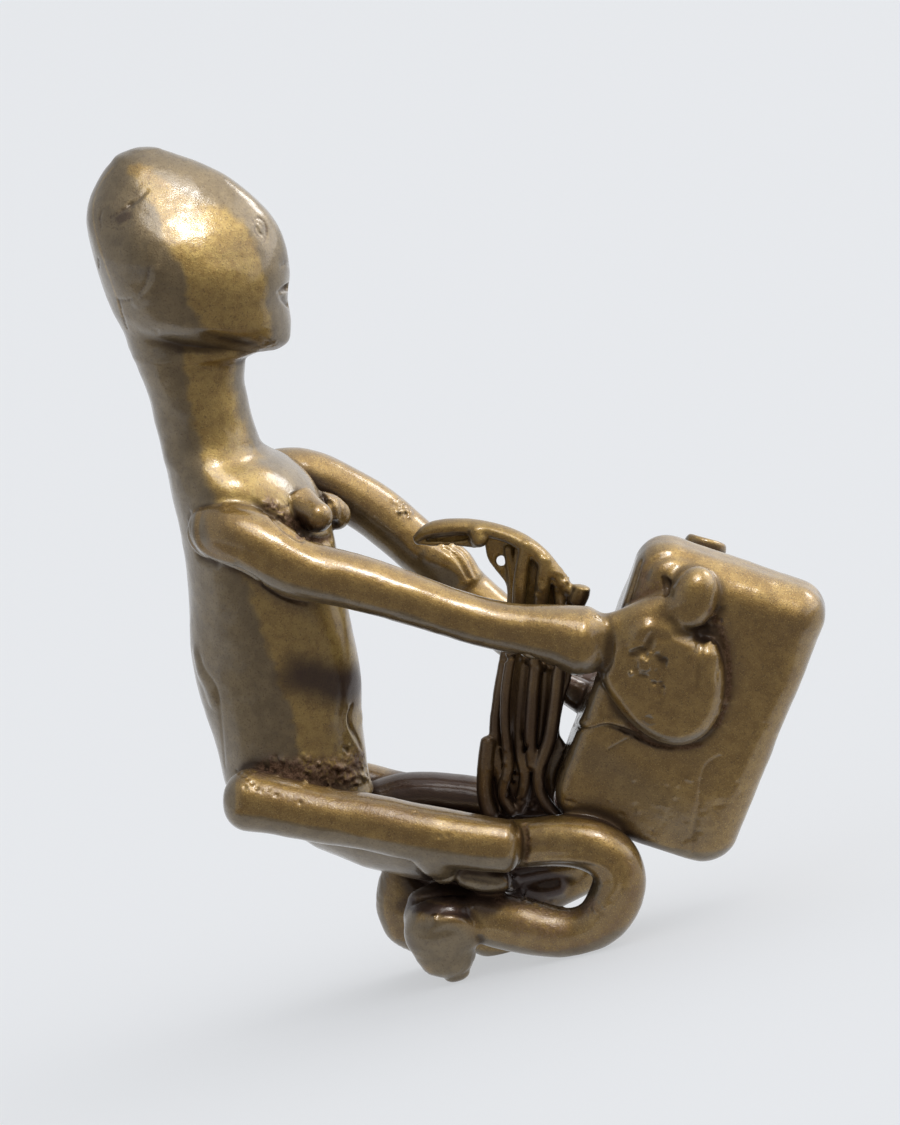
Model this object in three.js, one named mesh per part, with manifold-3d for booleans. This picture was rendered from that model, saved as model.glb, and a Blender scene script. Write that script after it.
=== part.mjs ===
// Seated harp player, cast brass goldweight, rebuilt as its pressed wax elements.
// Units: millimetres, +Z up, X forward (the way the figure faces), Y to the figure's left.
import * as THREE from 'three';
import { mergeVertices } from 'three/addons/utils/BufferGeometryUtils.js';
import { RoundedBoxGeometry } from 'three/addons/geometries/RoundedBoxGeometry.js';
import Module from 'manifold-3d';

// ---------------------------------------------------------------- driving data
// HEAD, NECK, TORSO: oval slices [x, y, z, half depth, half width, tilt, turn]
// others: stations of a roll [x, y, z, radius up and down, radius sideways]
const HEAD = [
  [-14.39, 0, 37.24, 1.26, 0.95, -13.95, 0],
  [-14.38, 0, 37, 1.88, 1.2, -13.94, 0],
  [-14.09, 0, 36.44, 2.86, 1.55, -13.93, 0],
  [-13.73, 0, 35.54, 4.16, 2.15, -13.92, 0],
  [-13.46, 0, 34.34, 5.37, 3.1, -13.9, 0],
  [-13.39, 0, 32.86, 6.48, 4.15, -13.88, 0],
  [-13.28, 0, 31.21, 7.28, 5.2, -13.86, 0],
  [-13.18, 0, 29.56, 7.52, 6.05, -13.83, 0],
  [-13.19, 0, 27.94, 7.48, 6.55, -13.81, 0],
  [-13.36, 0, 26.35, 7.29, 6.6, -13.78, 0],
  [-13.6, 0, 24.78, 6.94, 6.25, -13.76, 0],
  [-13.58, 0, 23.14, 6.71, 5.6, -13.73, 0],
  [-13.59, 0, 22.09, 6.44, 4.8, -13.71, 0],
  [-13.79, 0, 21.4, 6.21, 4.3, -13.68, 0.12],
  [-14.13, 0, 21.07, 5.9, 3.9, -13.62, 0.42],
];
const NECK = [
  [-14.93, 0, 21.02, 4.98, 4.15, -13.58, 0.6],
  [-15.37, 0, 20.64, 4.42, 4, -13.5, 0.96],
  [-15.61, 0, 19.96, 4.15, 3.85, -13.38, 1.5],
  [-15.78, 0, 18.78, 3.91, 3.8, -13.17, 2.4],
  [-15.87, 0, 17.16, 3.78, 3.85, -12.88, 3.6],
  [-15.93, 0, 15.53, 3.77, 4, -12.59, 4.8],
  [-15.89, 0, 14.05, 3.79, 4.3, -12.31, 5.88],
];
const TORSO = [
  [-15.88, 0, 13.88, 3.8, 4.4, -12.28, 6],
  [-15.78, 0, 12.87, 3.93, 4.9, -11.97, 7.2],
  [-15.22, 0, 11.91, 4.48, 5.4, -11.71, 8.2],
  [-14.73, 0, 10.73, 5.03, 5.9, -11.36, 9.5],
  [-14.44, 0, 9.42, 5.44, 6.1, -10.94, 11],
  [-14.26, 0, 7.73, 5.72, 6.1, -10.68, 11.8],
  [-14.28, 0, 6.09, 5.89, 5.9, -10.73, 11.4],
  [-14.51, 0, 3.67, 5.99, 5.6, -10.8, 10.8],
  [-14.96, 0, 0.47, 6.23, 5.4, -10.91, 10],
  [-15.46, 0, -2.72, 6.59, 5.3, -11.02, 9.2],
  [-15.8, 0, -5.96, 6.58, 5.3, -11.14, 8.4],
  [-16.14, 0, -9.21, 6.07, 5.2, -11.42, 7],
  [-16.37, 0, -12.07, 5.8, 5.2, -11.82, 5.25],
  [-16.53, 0, -14.12, 5.71, 5.2, -12.11, 4],
  [-16.41, 0, -15.1, 5.66, 5.05, -12.28, 3.6],
];
const ARM_RIGHT = [
  [-15.41, -6, 7.73, 2.33, 2.33],
  [-12.85, -6.5, 6.01, 2.44, 2.44],
  [-10.08, -6.7, 3.52, 2.32, 2.32],
  [-7.26, -6.6, 2.01, 2.2, 2.2],
  [-3.09, -6.4, -0.42, 2.01, 2.01],
  [-0.36, -6.2, -2.17, 1.85, 1.85],
  [2.39, -6, -3.85, 1.82, 1.82],
  [5.2, -5.8, -5.34, 2.01, 2.01],
  [7.57, -5.6, -6.32, 2.35, 2.35],
  [9.38, -5.4, -7.29, 2.74, 2.74],
];
const ARM_LEFT = [
  [-14.08, 5.6, 8.91, 2.13, 2.13],
  [-11.96, 6.4, 8.72, 2.13, 2.13],
  [-9.91, 7, 7.52, 2.13, 2.13],
  [-7.99, 7.4, 5.72, 2.13, 2.13],
  [-6.11, 7.6, 3.64, 2.13, 2.13],
  [-4.62, 7.6, 1.54, 2.13, 2.13],
  [-3.1, 7.4, -0.61, 2.09, 2.09],
  [-1.31, 7, -3.36, 2.05, 2.05],
  [1.16, 6.5, -6.75, 2.05, 2.05],
  [3.71, 5.8, -9.93, 1.97, 1.97],
  [5.95, 5.2, -12.64, 1.89, 1.89],
  [7.58, 4.9, -14.37, 1.89, 1.89],
];
const LEG_RIGHT = [
  [-8.83, -3.2, -18.89, 1.96, 1.96],
  [-5.89, -3.4, -20.27, 1.96, 1.96],
  [-2.9, -3.6, -21.48, 1.95, 1.95],
  [0.59, -3.8, -22.32, 1.95, 1.95],
  [3.37, -4, -22.75, 2.03, 2.03],
  [5.63, -4.2, -23.55, 2.1, 2.1],
  [6.98, -4.3, -24.91, 2.1, 2.1],
  [7.19, -4.3, -26.53, 2.06, 2.06],
  [6.32, -4.3, -28.23, 2.1, 2.1],
  [4.7, -4.2, -29.3, 2.22, 2.22],
  [2.7, -4.1, -29.69, 2.26, 2.26],
  [0.55, -4, -29.39, 2.23, 2.23],
  [-1.57, -3.8, -28.63, 2.19, 2.19],
  [-3.8, -3.6, -27.67, 2.11, 2.11],
];
const LEG_LEFT = [
  [-11.83, 3, -18.19, 1.98, 1.98],
  [-9.78, 3.2, -18.21, 2.06, 2.06],
  [-6.66, 3.4, -18.83, 2.06, 2.06],
  [-3.69, 3.6, -19.99, 1.98, 1.98],
  [-0.77, 3.8, -21.31, 1.98, 1.98],
  [1.77, 4, -22.8, 2.05, 2.05],
  [3.29, 4, -24.49, 2.13, 2.13],
  [3.48, 4, -26.21, 2.13, 2.13],
  [2.28, 3.8, -27.39, 2.13, 2.13],
  [0.42, 3.4, -28.02, 2.06, 2.06],
  [-1.91, 2.8, -29, 2.06, 2.06],
  [-4.37, 2.3, -30.39, 2.02, 2.02],
  [-6.18, 2.3, -29.72, 1.82, 1.82],
  [-7.97, 2.4, -27.74, 1.58, 1.58],
];
const RIM_RIGHT = [
  [-19.11, -6, -13.59, 2.46, 2.46],
  [-16.97, -6.1, -14.56, 2.3, 2.3],
  [-14.06, -6.1, -15.94, 2.22, 2.22],
  [-10.23, -6.1, -17.53, 2.22, 2.22],
  [-6.03, -6.1, -19.5, 2.3, 2.3],
  [-2.51, -6.1, -20.98, 2.22, 2.22],
  [-0.35, -6.1, -21.73, 2.06, 2.06],
];
const RIM_LEFT = [
  [-19.57, 5.4, -13.74, 1.91, 1.91],
  [-17.41, 5.5, -14.95, 1.91, 1.91],
  [-14.41, 5.5, -16.23, 1.91, 1.91],
  [-10.59, 5.5, -18.14, 1.91, 1.91],
  [-6.28, 5.5, -20.06, 1.9, 1.9],
  [-2.57, 5.5, -21.69, 1.86, 1.86],
  [-0.85, 5.5, -22.42, 1.82, 1.82],
];
const HARP_NECK = [
  [-1.77, 0.4, 2.43, 0.62, 0.94],
  [-0.18, 0.4, 2.54, 0.74, 1.11],
  [1.4, 0.3, 2.27, 0.78, 1.17],
  [3.71, 0.2, 1.66, 0.74, 1.11],
  [5.31, 0, 0.83, 0.74, 1.11],
  [6.59, -0.2, -0.26, 0.74, 1.11],
  [7.52, -0.3, -1.68, 0.7, 1.05],
  [8.18, -0.3, -3.15, 0.7, 1.05],
  [8.65, -0.3, -4.41, 0.66, 0.93],
];
const STRING_1 = [
  [4.63, 0.6, 0.19, 0.51, 0.51],
  [3.99, 0.6, -4.18, 0.51, 0.51],
  [2.25, 0.7, -8.33, 0.51, 0.51],
  [0.64, 0.8, -11.7, 0.51, 0.51],
  [-0.47, 0.9, -14.78, 0.51, 0.51],
  [-1.21, 1, -17.96, 0.51, 0.51],
  [-1.28, 1, -20.61, 0.51, 0.51],
];
const STRING_2 = [
  [5.86, -0.9, -0.08, 0.47, 0.47],
  [4.77, -0.9, -4.01, 0.47, 0.47],
  [2.93, -0.8, -8.53, 0.47, 0.47],
  [1.44, -0.7, -11.51, 0.47, 0.47],
  [0.88, -0.7, -14.69, 0.47, 0.47],
  [0.98, -0.7, -17.03, 0.47, 0.47],
  [0.73, -0.7, -18.8, 0.47, 0.47],
  [0.42, -0.7, -20.22, 0.47, 0.47],
];
const STRING_3 = [
  [6.25, 0.8, -1.23, 0.47, 0.47],
  [5.33, 0.8, -4.54, 0.47, 0.47],
  [3.97, 0.8, -9.17, 0.47, 0.47],
  [2.81, 0.8, -12.21, 0.47, 0.47],
  [1.71, 0.8, -15.27, 0.47, 0.47],
  [1.45, 0.8, -17.7, 0.47, 0.47],
  [0.9, 0.8, -20.31, 0.47, 0.47],
];
const STRING_4 = [
  [6.66, -0.9, -1.01, 0.43, 0.43],
  [5.84, -0.9, -4.26, 0.43, 0.43],
  [4.64, -0.9, -8.91, 0.43, 0.43],
  [3.79, -0.9, -12.01, 0.47, 0.47],
  [2.88, -0.9, -14.69, 0.47, 0.47],
  [2.35, -0.9, -16.63, 0.43, 0.43],
];
const STRING_5 = [
  [7.08, 0.8, -2.66, 0.47, 0.47],
  [6.19, 0.8, -5.57, 0.47, 0.47],
  [5.05, 0.8, -9.43, 0.47, 0.47],
  [4.04, 0.8, -12.5, 0.47, 0.47],
  [2.95, 0.8, -15.56, 0.47, 0.47],
  [2.07, 0.8, -17.84, 0.47, 0.47],
  [1.28, 0.8, -20.4, 0.47, 0.47],
];
const STRING_6 = [
  [7.49, -0.9, -2.44, 0.51, 0.51],
  [6.86, -0.9, -5.32, 0.51, 0.51],
  [6.1, -0.9, -9.26, 0.51, 0.51],
  [5.17, -0.9, -12.33, 0.51, 0.51],
  [4.01, -0.9, -15.37, 0.51, 0.51],
  [2.9, -0.9, -17.59, 0.47, 0.47],
  [2.28, -0.9, -19.27, 0.47, 0.47],
  [2.36, -0.9, -20.45, 0.47, 0.47],
];
const STRING_7 = [
  [7.91, 0.5, -4.26, 0.51, 0.51],
  [7.71, 0.7, -6.07, 0.51, 0.51],
  [7.3, 0.9, -8.33, 0.47, 0.47],
  [6.97, 1, -10.1, 0.47, 0.47],
];
const STRING_HEEL = [
  [-0.93, -0.3, -14.45, 0.67, 0.67],
  [-1.52, -0.3, -16.3, 0.67, 0.67],
  [-2.2, -0.3, -19.05, 0.67, 0.67],
];
const NECK_STUB = [
  [8.74, -0.5, -4.8, 0.86, 0.86],
  [9.54, -0.5, -4.83, 0.93, 0.93],
  [10.1, -0.5, -4.88, 0.89, 0.89],
];
const BREAST_RIGHT = [
  [-9.87, -2.2, 7.59, 1.56, 1.56],
  [-9.17, -2.8, 7.06, 1.36, 1.36],
  [-8.36, -3.5, 6.54, 1.2, 1.2],
];
const BREAST_LEFT = [
  [-9.15, 1.6, 5.98, 1.65, 1.65],
  [-8.65, 2.1, 5.75, 1.41, 1.41],
  [-8.27, 2.5, 5.32, 1.18, 1.18],
];
const NAVEL = [
  [-11.28, -0.6, -10.03, 1.33, 1.33],
  [-10.76, -0.8, -10.1, 1.25, 1.25],
];
const SEAT_STUB = [
  [-6.07, -5.6, -21.11, 1.72, 1.72],
  [-5.84, -5.3, -22.16, 1.56, 1.56],
  [-5.81, -5.1, -22.8, 1.17, 1.17],
];
const FOOT_RIGHT = [
  [-7.48, -3.2, -25.27, 2.43, 1.7],
  [-7.62, -3.5, -26.24, 2.9, 2.17],
  [-7.56, -4.1, -27, 3.05, 2.38],
  [-7.55, -4.4, -28.33, 2.98, 2.26],
  [-7.51, -4.5, -29.73, 2.43, 1.8],
  [-7.36, -4.4, -30.88, 1.33, 1.13],
];
const FOOT_LEFT = [
  [-10.94, 2.2, -22.96, 1.11, 1],
  [-11.16, 2.4, -24.23, 1.9, 1.52],
  [-11.11, 2.6, -25.73, 2.69, 1.94],
  [-10.99, 2.6, -27.35, 2.85, 2],
  [-10.86, 2.6, -28.99, 2.38, 1.67],
  [-10.78, 2.6, -30.19, 1.19, 0.95],
];
const WEB = [
  [2.31, 0.94],
  [2.72, -0.23],
  [3.35, -1.53],
  [3.79, -2.87],
  [3.84, -4.2],
  [4.3, -4.31],
  [5.67, 0.38],
  [4.34, 1.19],
  [3.19, 1.46],
];

// ---------------------------------------------------------------- constants
const BOX_LENGTH = 24.0;         // sound box, along its long axis
const BOX_WIDTH = 15.2;
const BOX_THICKNESS = 7.2;
const BOX_EDGE_RADIUS = 1.9;
const BOX_CENTRE = [15.42, -0.04, -14.77];
const BOX_LONG = [0.5737, -0.074, 0.8157];
const BOX_ACROSS = [0.8161, 0.1358, -0.5617];
const PLATE_THICKNESS = 1.3;     // curved sheet of the stool seat
const PLATE_SAG = [1.6, 3.5, 4.4, 4.7, 4.8, 4.7, 4.2];   // mid-surface below the rims, back to front
const WEB_THICKNESS = 0.7;
const HAND_RIGHT_CENTRE = [14.8, -4, -11.85];
const THUMB_RIGHT_CENTRE = [18.58, -4.8, -6.36];
const HAND_LEFT_CENTRE = [14.54, 4.5, -11.95];
const THUMB_LEFT_CENTRE = [18.97, 4, -4.35];
const GAP = 0.2;                 // left between neighbouring elements
const FLOOR = -31.75;            // plane the soles and lower legs are ground flat to
const ORIGIN = [2.836, 0.365, FLOOR]; // reference point of the outline data that becomes the part's origin

// ---------------------------------------------------------------- helpers
const wasm = await Module();
wasm.setup();

function toSolid(geometry) {
  let g = geometry.clone();
  g.deleteAttribute('normal');
  g.deleteAttribute('uv');
  g = mergeVertices(g, 1e-4);
  const p = g.attributes.position.array;
  let idx = Array.from(g.index.array);
  let keep = [];
  for (let i = 0; i < idx.length; i += 3) {
    const [a, b, c] = [idx[i], idx[i + 1], idx[i + 2]];
    if (a !== b && b !== c && a !== c) keep.push(a, b, c);
  }
  let vol = 0;
  for (let i = 0; i < keep.length; i += 3) {
    const [a, b, c] = [keep[i] * 3, keep[i + 1] * 3, keep[i + 2] * 3];
    vol += p[a] * (p[b + 1] * p[c + 2] - p[b + 2] * p[c + 1]) - p[a + 1] * (p[b] * p[c + 2] - p[b + 2] * p[c]) + p[a + 2] * (p[b] * p[c + 1] - p[b + 1] * p[c]);
  }
  if (vol < 0) for (let i = 0; i < keep.length; i += 3) { const t = keep[i + 1]; keep[i + 1] = keep[i + 2]; keep[i + 2] = t; }
  return new wasm.Manifold(new wasm.Mesh({ numProp: 3, vertProperties: new Float32Array(p), triVerts: new Uint32Array(keep) }));
}

function fromSolid(solid) {
  const parts = solid.decompose();
  let best = parts[0];
  for (const q of parts) if (q.volume() > best.volume()) best = q;
  const m = best.getMesh();
  const n = m.vertProperties.length / m.numProp;
  const pos = new Float32Array(n * 3);
  for (let i = 0; i < n; i++) for (let k = 0; k < 3; k++) pos[i * 3 + k] = m.vertProperties[i * m.numProp + k];
  const g = new THREE.BufferGeometry();
  g.setAttribute('position', new THREE.BufferAttribute(pos, 3));
  g.setIndex(new THREE.BufferAttribute(new Uint32Array(m.triVerts), 1));
  g.computeVertexNormals();
  return g;
}

// A closed skin through oval rows: the rows of a sphere are carried to the rows given.
// row: {c: Vector3, F: Vector3, G: Vector3, a, b}; the first and last row are single points.
function skin(rows, W) {
  const H = rows.length - 1;
  const g = new THREE.SphereGeometry(1, W, H);
  const pos = g.attributes.position;
  const v = new THREE.Vector3();
  for (let i = 0; i < pos.count; i++) {
    v.fromBufferAttribute(pos, i);
    const r = Math.round(Math.acos(Math.min(1, Math.max(-1, v.y))) / Math.PI * H);
    const th = Math.atan2(v.z, v.x);
    const { c, F, G, a, b } = rows[r];
    pos.setXYZ(i,
      c.x + F.x * a * Math.cos(th) + G.x * b * Math.sin(th),
      c.y + F.y * a * Math.cos(th) + G.y * b * Math.sin(th),
      c.z + F.z * a * Math.cos(th) + G.z * b * Math.sin(th));
  }
  return g;
}

// Roll of wax: an oval section along a smooth curve, with rounded ends.
// stations: [x, y, z, in-plane radius, lateral radius]
function roll(stations, { grow = 0, n = 12, W = 14, dome = [0.8, 0.8], lateral = [0, 1, 0] } = {}) {
  const curve = new THREE.CatmullRomCurve3(stations.map(s => new THREE.Vector3(s[0], s[1], s[2])));
  const radii = new THREE.CatmullRomCurve3(stations.map(s => new THREE.Vector3(s[3], s[4], 0)));
  const L = new THREE.Vector3(...lateral);
  const frame = t => {
    const T = curve.getTangent(t).normalize();
    const G = L.clone().addScaledVector(T, -L.dot(T)).normalize();
    const F = new THREE.Vector3().crossVectors(T, G).normalize();
    const r = radii.getPoint(t);
    return { c: curve.getPoint(t), T, F, G, a: r.x + grow, b: r.y + grow };
  };
  const rows = [];
  const steps = [0.35, 0.8, 1.2];
  const start = frame(0), end = frame(1);
  const cap = (f, s, d) => {
    const out = [];
    const h = (Math.min(f.a, f.b) - grow) * d + grow;
    out.push({ ...f, c: f.c.clone().addScaledVector(f.T, s * h), a: 0, b: 0 });
    for (const q of steps) out.push({ ...f, c: f.c.clone().addScaledVector(f.T, s * h * Math.cos(q)), a: f.a * Math.sin(q), b: f.b * Math.sin(q) });
    return out;
  };
  rows.push(...cap(start, -1, dome[0]));
  for (let i = 0; i <= n; i++) rows.push(frame(i / n));
  rows.push(...cap(end, 1, dome[1]).reverse());
  return skin(rows, W);
}

// Body of stacked oval slices: [x, y, z, half depth, half width, tilt, turn] in mm and degrees.
function slices(list, { grow = 0, W = 18, top = 0.3, bottom = 0.3 } = {}) {
  const rows = list.map(s => {
    const turn = THREE.MathUtils.degToRad(s[6]), tilt = THREE.MathUtils.degToRad(s[5]);
    const f = new THREE.Vector3(Math.cos(turn), -Math.sin(turn), 0).multiplyScalar(Math.cos(tilt)).add(new THREE.Vector3(0, 0, Math.sin(tilt)));
    return { c: new THREE.Vector3(s[0], s[1], s[2]), F: f, G: new THREE.Vector3(Math.sin(turn), Math.cos(turn), 0), a: s[3] + grow, b: s[4] + grow };
  });
  const up = r => new THREE.Vector3().crossVectors(r.F, r.G).normalize();
  const first = rows[0], last = rows[rows.length - 1];
  const n0 = up(first), n1 = up(last);
  const s0 = n0.z > 0 ? 1 : -1, s1 = n1.z > 0 ? 1 : -1;
  rows.unshift({ ...first, c: first.c.clone().addScaledVector(n0, s0 * (top + grow)), a: 0, b: 0 });
  rows.push({ ...last, c: last.c.clone().addScaledVector(n1, -s1 * (bottom + grow)), a: 0, b: 0 });
  return skin(rows, W);
}

// Ball or pad: ellipsoid with its own axes.
function ball(c, ax, ay, sx, sy, sz, grow = 0, W = 14, H = 10) {
  const g = new THREE.SphereGeometry(1, W, H);
  const X = new THREE.Vector3(...ax).normalize();
  const Y = new THREE.Vector3(...ay); Y.addScaledVector(X, -Y.dot(X)).normalize();
  const Z = new THREE.Vector3().crossVectors(X, Y);
  const m = new THREE.Matrix4().makeBasis(X.multiplyScalar(sx + grow), Y.multiplyScalar(sy + grow), Z.multiplyScalar(sz + grow));
  m.setPosition(...c);
  g.applyMatrix4(m);
  return g;
}

function boxBody(grow = 0) {
  const g = new RoundedBoxGeometry(BOX_WIDTH + 2 * grow, BOX_LENGTH + 2 * grow, BOX_THICKNESS + 2 * grow, 2, BOX_EDGE_RADIUS + grow);
  const X = new THREE.Vector3(...BOX_ACROSS).normalize();
  const Y = new THREE.Vector3(...BOX_LONG); Y.addScaledVector(X, -Y.dot(X)).normalize();
  const Z = new THREE.Vector3().crossVectors(X, Y);
  const m = new THREE.Matrix4().makeBasis(X, Y, Z);
  m.setPosition(...BOX_CENTRE);
  g.applyMatrix4(m);
  return g;
}

// Curved sheet of the seat: a divided block bent between the two rims.
function plate(grow = 0) {
  const right = new THREE.CatmullRomCurve3(RIM_RIGHT.map(s => new THREE.Vector3(s[0], s[1], s[2])));
  const left = new THREE.CatmullRomCurve3(RIM_LEFT.map(s => new THREE.Vector3(s[0], s[1], s[2])));
  const g = new THREE.BoxGeometry(1, 1, 1, 8, 8, 1);
  const pos = g.attributes.position;
  for (let i = 0; i < pos.count; i++) {
    const u = pos.getX(i) + 0.5, t = pos.getY(i) * 2 * (1 + 0.2 * grow), w = pos.getZ(i) * 2;
    const s = THREE.MathUtils.clamp(0.94 * u, 0, 1);
    const a = right.getPoint(s), b = left.getPoint(s);
    const k = s * (PLATE_SAG.length - 1), k0 = Math.min(PLATE_SAG.length - 2, Math.floor(k));
    const sag = PLATE_SAG[k0] + (PLATE_SAG[k0 + 1] - PLATE_SAG[k0]) * (k - k0);
    const c = a.clone().lerp(b, (t + 1) / 2);
    const thick = (PLATE_THICKNESS / 2 + 1.5 * grow) * w;
    const past = u < 0.001 ? -1.5 * grow : u > 0.999 ? 1.5 * grow : 0;
    const rise = -past * (u < 0.5 ? 1.2 : 0.4);      // the sheet runs on along its own slope
    const slope = 2 * sag * t / ((b.y - a.y) / 2);
    const len = Math.hypot(1, slope);
    pos.setXYZ(i, c.x + past, c.y - thick * slope / len, c.z + rise - sag * (1 - t * t) + thick / len);
  }
  return g;
}

function web(grow = 0) {
  const shape = new THREE.Shape(WEB.map(p => new THREE.Vector2(p[0], p[1])));
  const g = new THREE.ExtrudeGeometry(shape, { depth: WEB_THICKNESS, bevelEnabled: false });
  g.rotateX(Math.PI / 2);           // (x, z) outline, sheet thickness along Y
  g.translate(0, 0.55 + WEB_THICKNESS / 2, 0);
  return g;
}

// ---------------------------------------------------------------- elements
const string = (k, n = 6) => grow => roll(k, { grow, n, W: 6 });
const elements = {
  sound_box: grow => boxBody(grow),
  torso: grow => slices(TORSO, { grow, W: 16, bottom: 0.9, top: -0.1 }),
  head: grow => slices(HEAD, { grow, W: 18, top: 0.35, bottom: 0.1 }),
  neck: grow => slices(NECK, { grow, W: 16, top: -0.1, bottom: 0.1 }),
  arm_right: grow => roll(ARM_RIGHT, { grow, n: 9, W: 12, dome: [0.9, 0.85] }),
  arm_left: grow => roll(ARM_LEFT, { grow, n: 9, W: 12, dome: [0.8, 0.6] }),
  hand_right: grow => ball(HAND_RIGHT_CENTRE, BOX_ACROSS, BOX_LONG, 5.1, 5.2, 2.3, grow, 14, 10),
  thumb_right: grow => ball(THUMB_RIGHT_CENTRE, BOX_ACROSS, BOX_LONG, 2.05, 2.75, 1.9, grow, 12, 8),
  hand_left: grow => ball(HAND_LEFT_CENTRE, BOX_ACROSS, BOX_LONG, 4.3, 4.8, 1.9, grow, 14, 8),
  thumb_left: grow => ball(THUMB_LEFT_CENTRE, BOX_ACROSS, BOX_LONG, 1.75, 1.35, 1.5, grow, 12, 8),
  seat_rim_right: grow => roll(RIM_RIGHT, { grow, n: 6, W: 12, dome: [0.95, 0.6] }),
  seat_rim_left: grow => roll(RIM_LEFT, { grow, n: 6, W: 12, dome: [0.95, 0.6] }),
  leg_right: grow => roll(LEG_RIGHT, { grow, n: 16, W: 12 }),
  leg_left: grow => roll(LEG_LEFT, { grow, n: 16, W: 12 }),
  foot_right: grow => roll(FOOT_RIGHT, { grow, n: 6, W: 12, dome: [0.7, 0.7] }),
  foot_left: grow => roll(FOOT_LEFT, { grow, n: 6, W: 12, dome: [0.7, 0.7] }),
  seat_plate: grow => plate(grow),
  seat_stub: grow => roll(SEAT_STUB, { grow, n: 3, W: 12 }),
  breast_right: grow => roll(BREAST_RIGHT, { grow, n: 2, W: 10, dome: [0.2, 0.9] }),
  breast_left: grow => roll(BREAST_LEFT, { grow, n: 2, W: 10, dome: [0.2, 0.9] }),
  navel: grow => roll(NAVEL, { grow, n: 2, W: 12, dome: [0.2, 0.4] }),
  harp_neck: grow => roll(HARP_NECK, { grow, n: 9, W: 8 }),
  neck_stub: grow => roll(NECK_STUB, { grow, n: 2, W: 10, dome: [0.35, 0.35] }),
  neck_web: grow => web(grow),
  string_1: string(STRING_1), string_2: string(STRING_2, 8), string_3: string(STRING_3), string_4: string(STRING_4),
  string_5: string(STRING_5), string_6: string(STRING_6, 8), string_7: string(STRING_7, 4),
  string_heel: grow => roll(STRING_HEEL, { grow, n: 3, W: 10 }),
};

// Where two elements meet, the first in this list keeps its form and the later one is fitted to it.
const order = ['arm_right', 'thumb_right', 'hand_right', 'sound_box', 'arm_left', 'thumb_left', 'hand_left',
  'head', 'neck', 'seat_rim_right', 'seat_rim_left', 'seat_plate', 'leg_right', 'leg_left', 'foot_right', 'foot_left',
  'breast_right', 'breast_left', 'navel', 'torso', 'seat_stub', 'harp_neck', 'neck_stub',
  'string_1', 'string_2', 'string_3', 'string_4', 'string_5', 'string_6', 'string_7', 'string_heel', 'neck_web'];

const meets = (a, b) => {
  const A = a.boundingBox(), B = b.boundingBox();
  for (let k = 0; k < 3; k++) if (A.min[k] > B.max[k] + 0.5 || B.min[k] > A.max[k] + 0.5) return false;
  return true;
};

const floorBlock = new THREE.BoxGeometry(120, 60, 20);
floorBlock.translate(0, 0, FLOOR - 10);
const below = toSolid(floorBlock);

const colours = {
  body: { color: 0x7d6a3f, roughness: 0.34, metalness: 1 },
  thread: { color: 0x5b4a30, roughness: 0.45, metalness: 1 },
};
const thin = /^(string|neck_web|neck_stub|harp_neck)/;

const figurine = new THREE.Group();
figurine.name = 'brass_figurine';
const model = new THREE.Group();
model.position.set(-ORIGIN[0], -ORIGIN[1], -ORIGIN[2]);
figurine.add(model);

const plain = {}, grown = {};
for (const name of order) { plain[name] = toSolid(elements[name](0)); grown[name] = toSolid(elements[name](GAP)); }
for (let i = 0; i < order.length; i++) {
  const name = order[i];
  let solid = plain[name];
  for (let j = 0; j < i; j++) if (meets(solid, grown[order[j]])) solid = solid.subtract(grown[order[j]]);
  if (solid.boundingBox().min[2] < FLOOR) solid = solid.subtract(below);
  const look = thin.test(name) ? colours.thread : colours.body;
  const mesh = new THREE.Mesh(fromSolid(solid), new THREE.MeshStandardMaterial(look));
  mesh.name = name;
  model.add(mesh);
}

export default figurine;
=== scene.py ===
import math
import bpy
import numpy as np
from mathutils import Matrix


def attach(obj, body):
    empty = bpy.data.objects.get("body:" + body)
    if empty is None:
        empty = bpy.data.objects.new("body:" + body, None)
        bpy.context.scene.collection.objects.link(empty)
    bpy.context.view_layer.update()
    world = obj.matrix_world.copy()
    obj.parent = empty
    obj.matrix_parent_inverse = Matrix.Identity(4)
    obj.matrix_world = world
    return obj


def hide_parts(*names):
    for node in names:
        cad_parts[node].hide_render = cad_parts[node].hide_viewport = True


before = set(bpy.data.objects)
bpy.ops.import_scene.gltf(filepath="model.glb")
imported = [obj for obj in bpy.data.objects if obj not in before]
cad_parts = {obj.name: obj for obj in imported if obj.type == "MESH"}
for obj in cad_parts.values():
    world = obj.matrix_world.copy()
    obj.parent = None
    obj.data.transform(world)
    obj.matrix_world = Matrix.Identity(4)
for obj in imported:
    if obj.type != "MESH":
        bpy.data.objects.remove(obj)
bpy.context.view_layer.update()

# ------------------------------------------------------------------ camera
# Long lens, seen from the figure's right, a little above the floor, rolled with the object.
AZ, EL, ROLL = 12.5, 10.0, 15.6          # degrees
LENS, SENSOR, IMG_W, IMG_H = 245.0, 36.0, 900.0, 1125.0
MM_PER_PX = 0.078                        # at the camera's target plane
DIST = MM_PER_PX * IMG_H * LENS / SENSOR # mm
ORIGIN = np.array([2.836, 0.365, -31.75])  # the outline data's frame -> the part's frame, mm
FOCAL = LENS / SENSOR * IMG_H            # px

_a, _e, _r = (math.radians(v) for v in (AZ, EL, ROLL))
BACK = np.array([math.sin(_a) * math.cos(_e), -math.cos(_a) * math.cos(_e), math.sin(_e)])
_right = np.array([math.cos(_a), math.sin(_a), 0.0])
_up = np.cross(BACK, _right)
CAM_X = _right * math.cos(_r) - _up * math.sin(_r)
CAM_Y = _right * math.sin(_r) + _up * math.cos(_r)
CAM = BACK * DIST


def ray(px, py):
    d = CAM_X * ((px - IMG_W / 2) / FOCAL) - CAM_Y * ((py - IMG_H / 2) / FOCAL) - BACK
    return d / np.linalg.norm(d)


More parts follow.
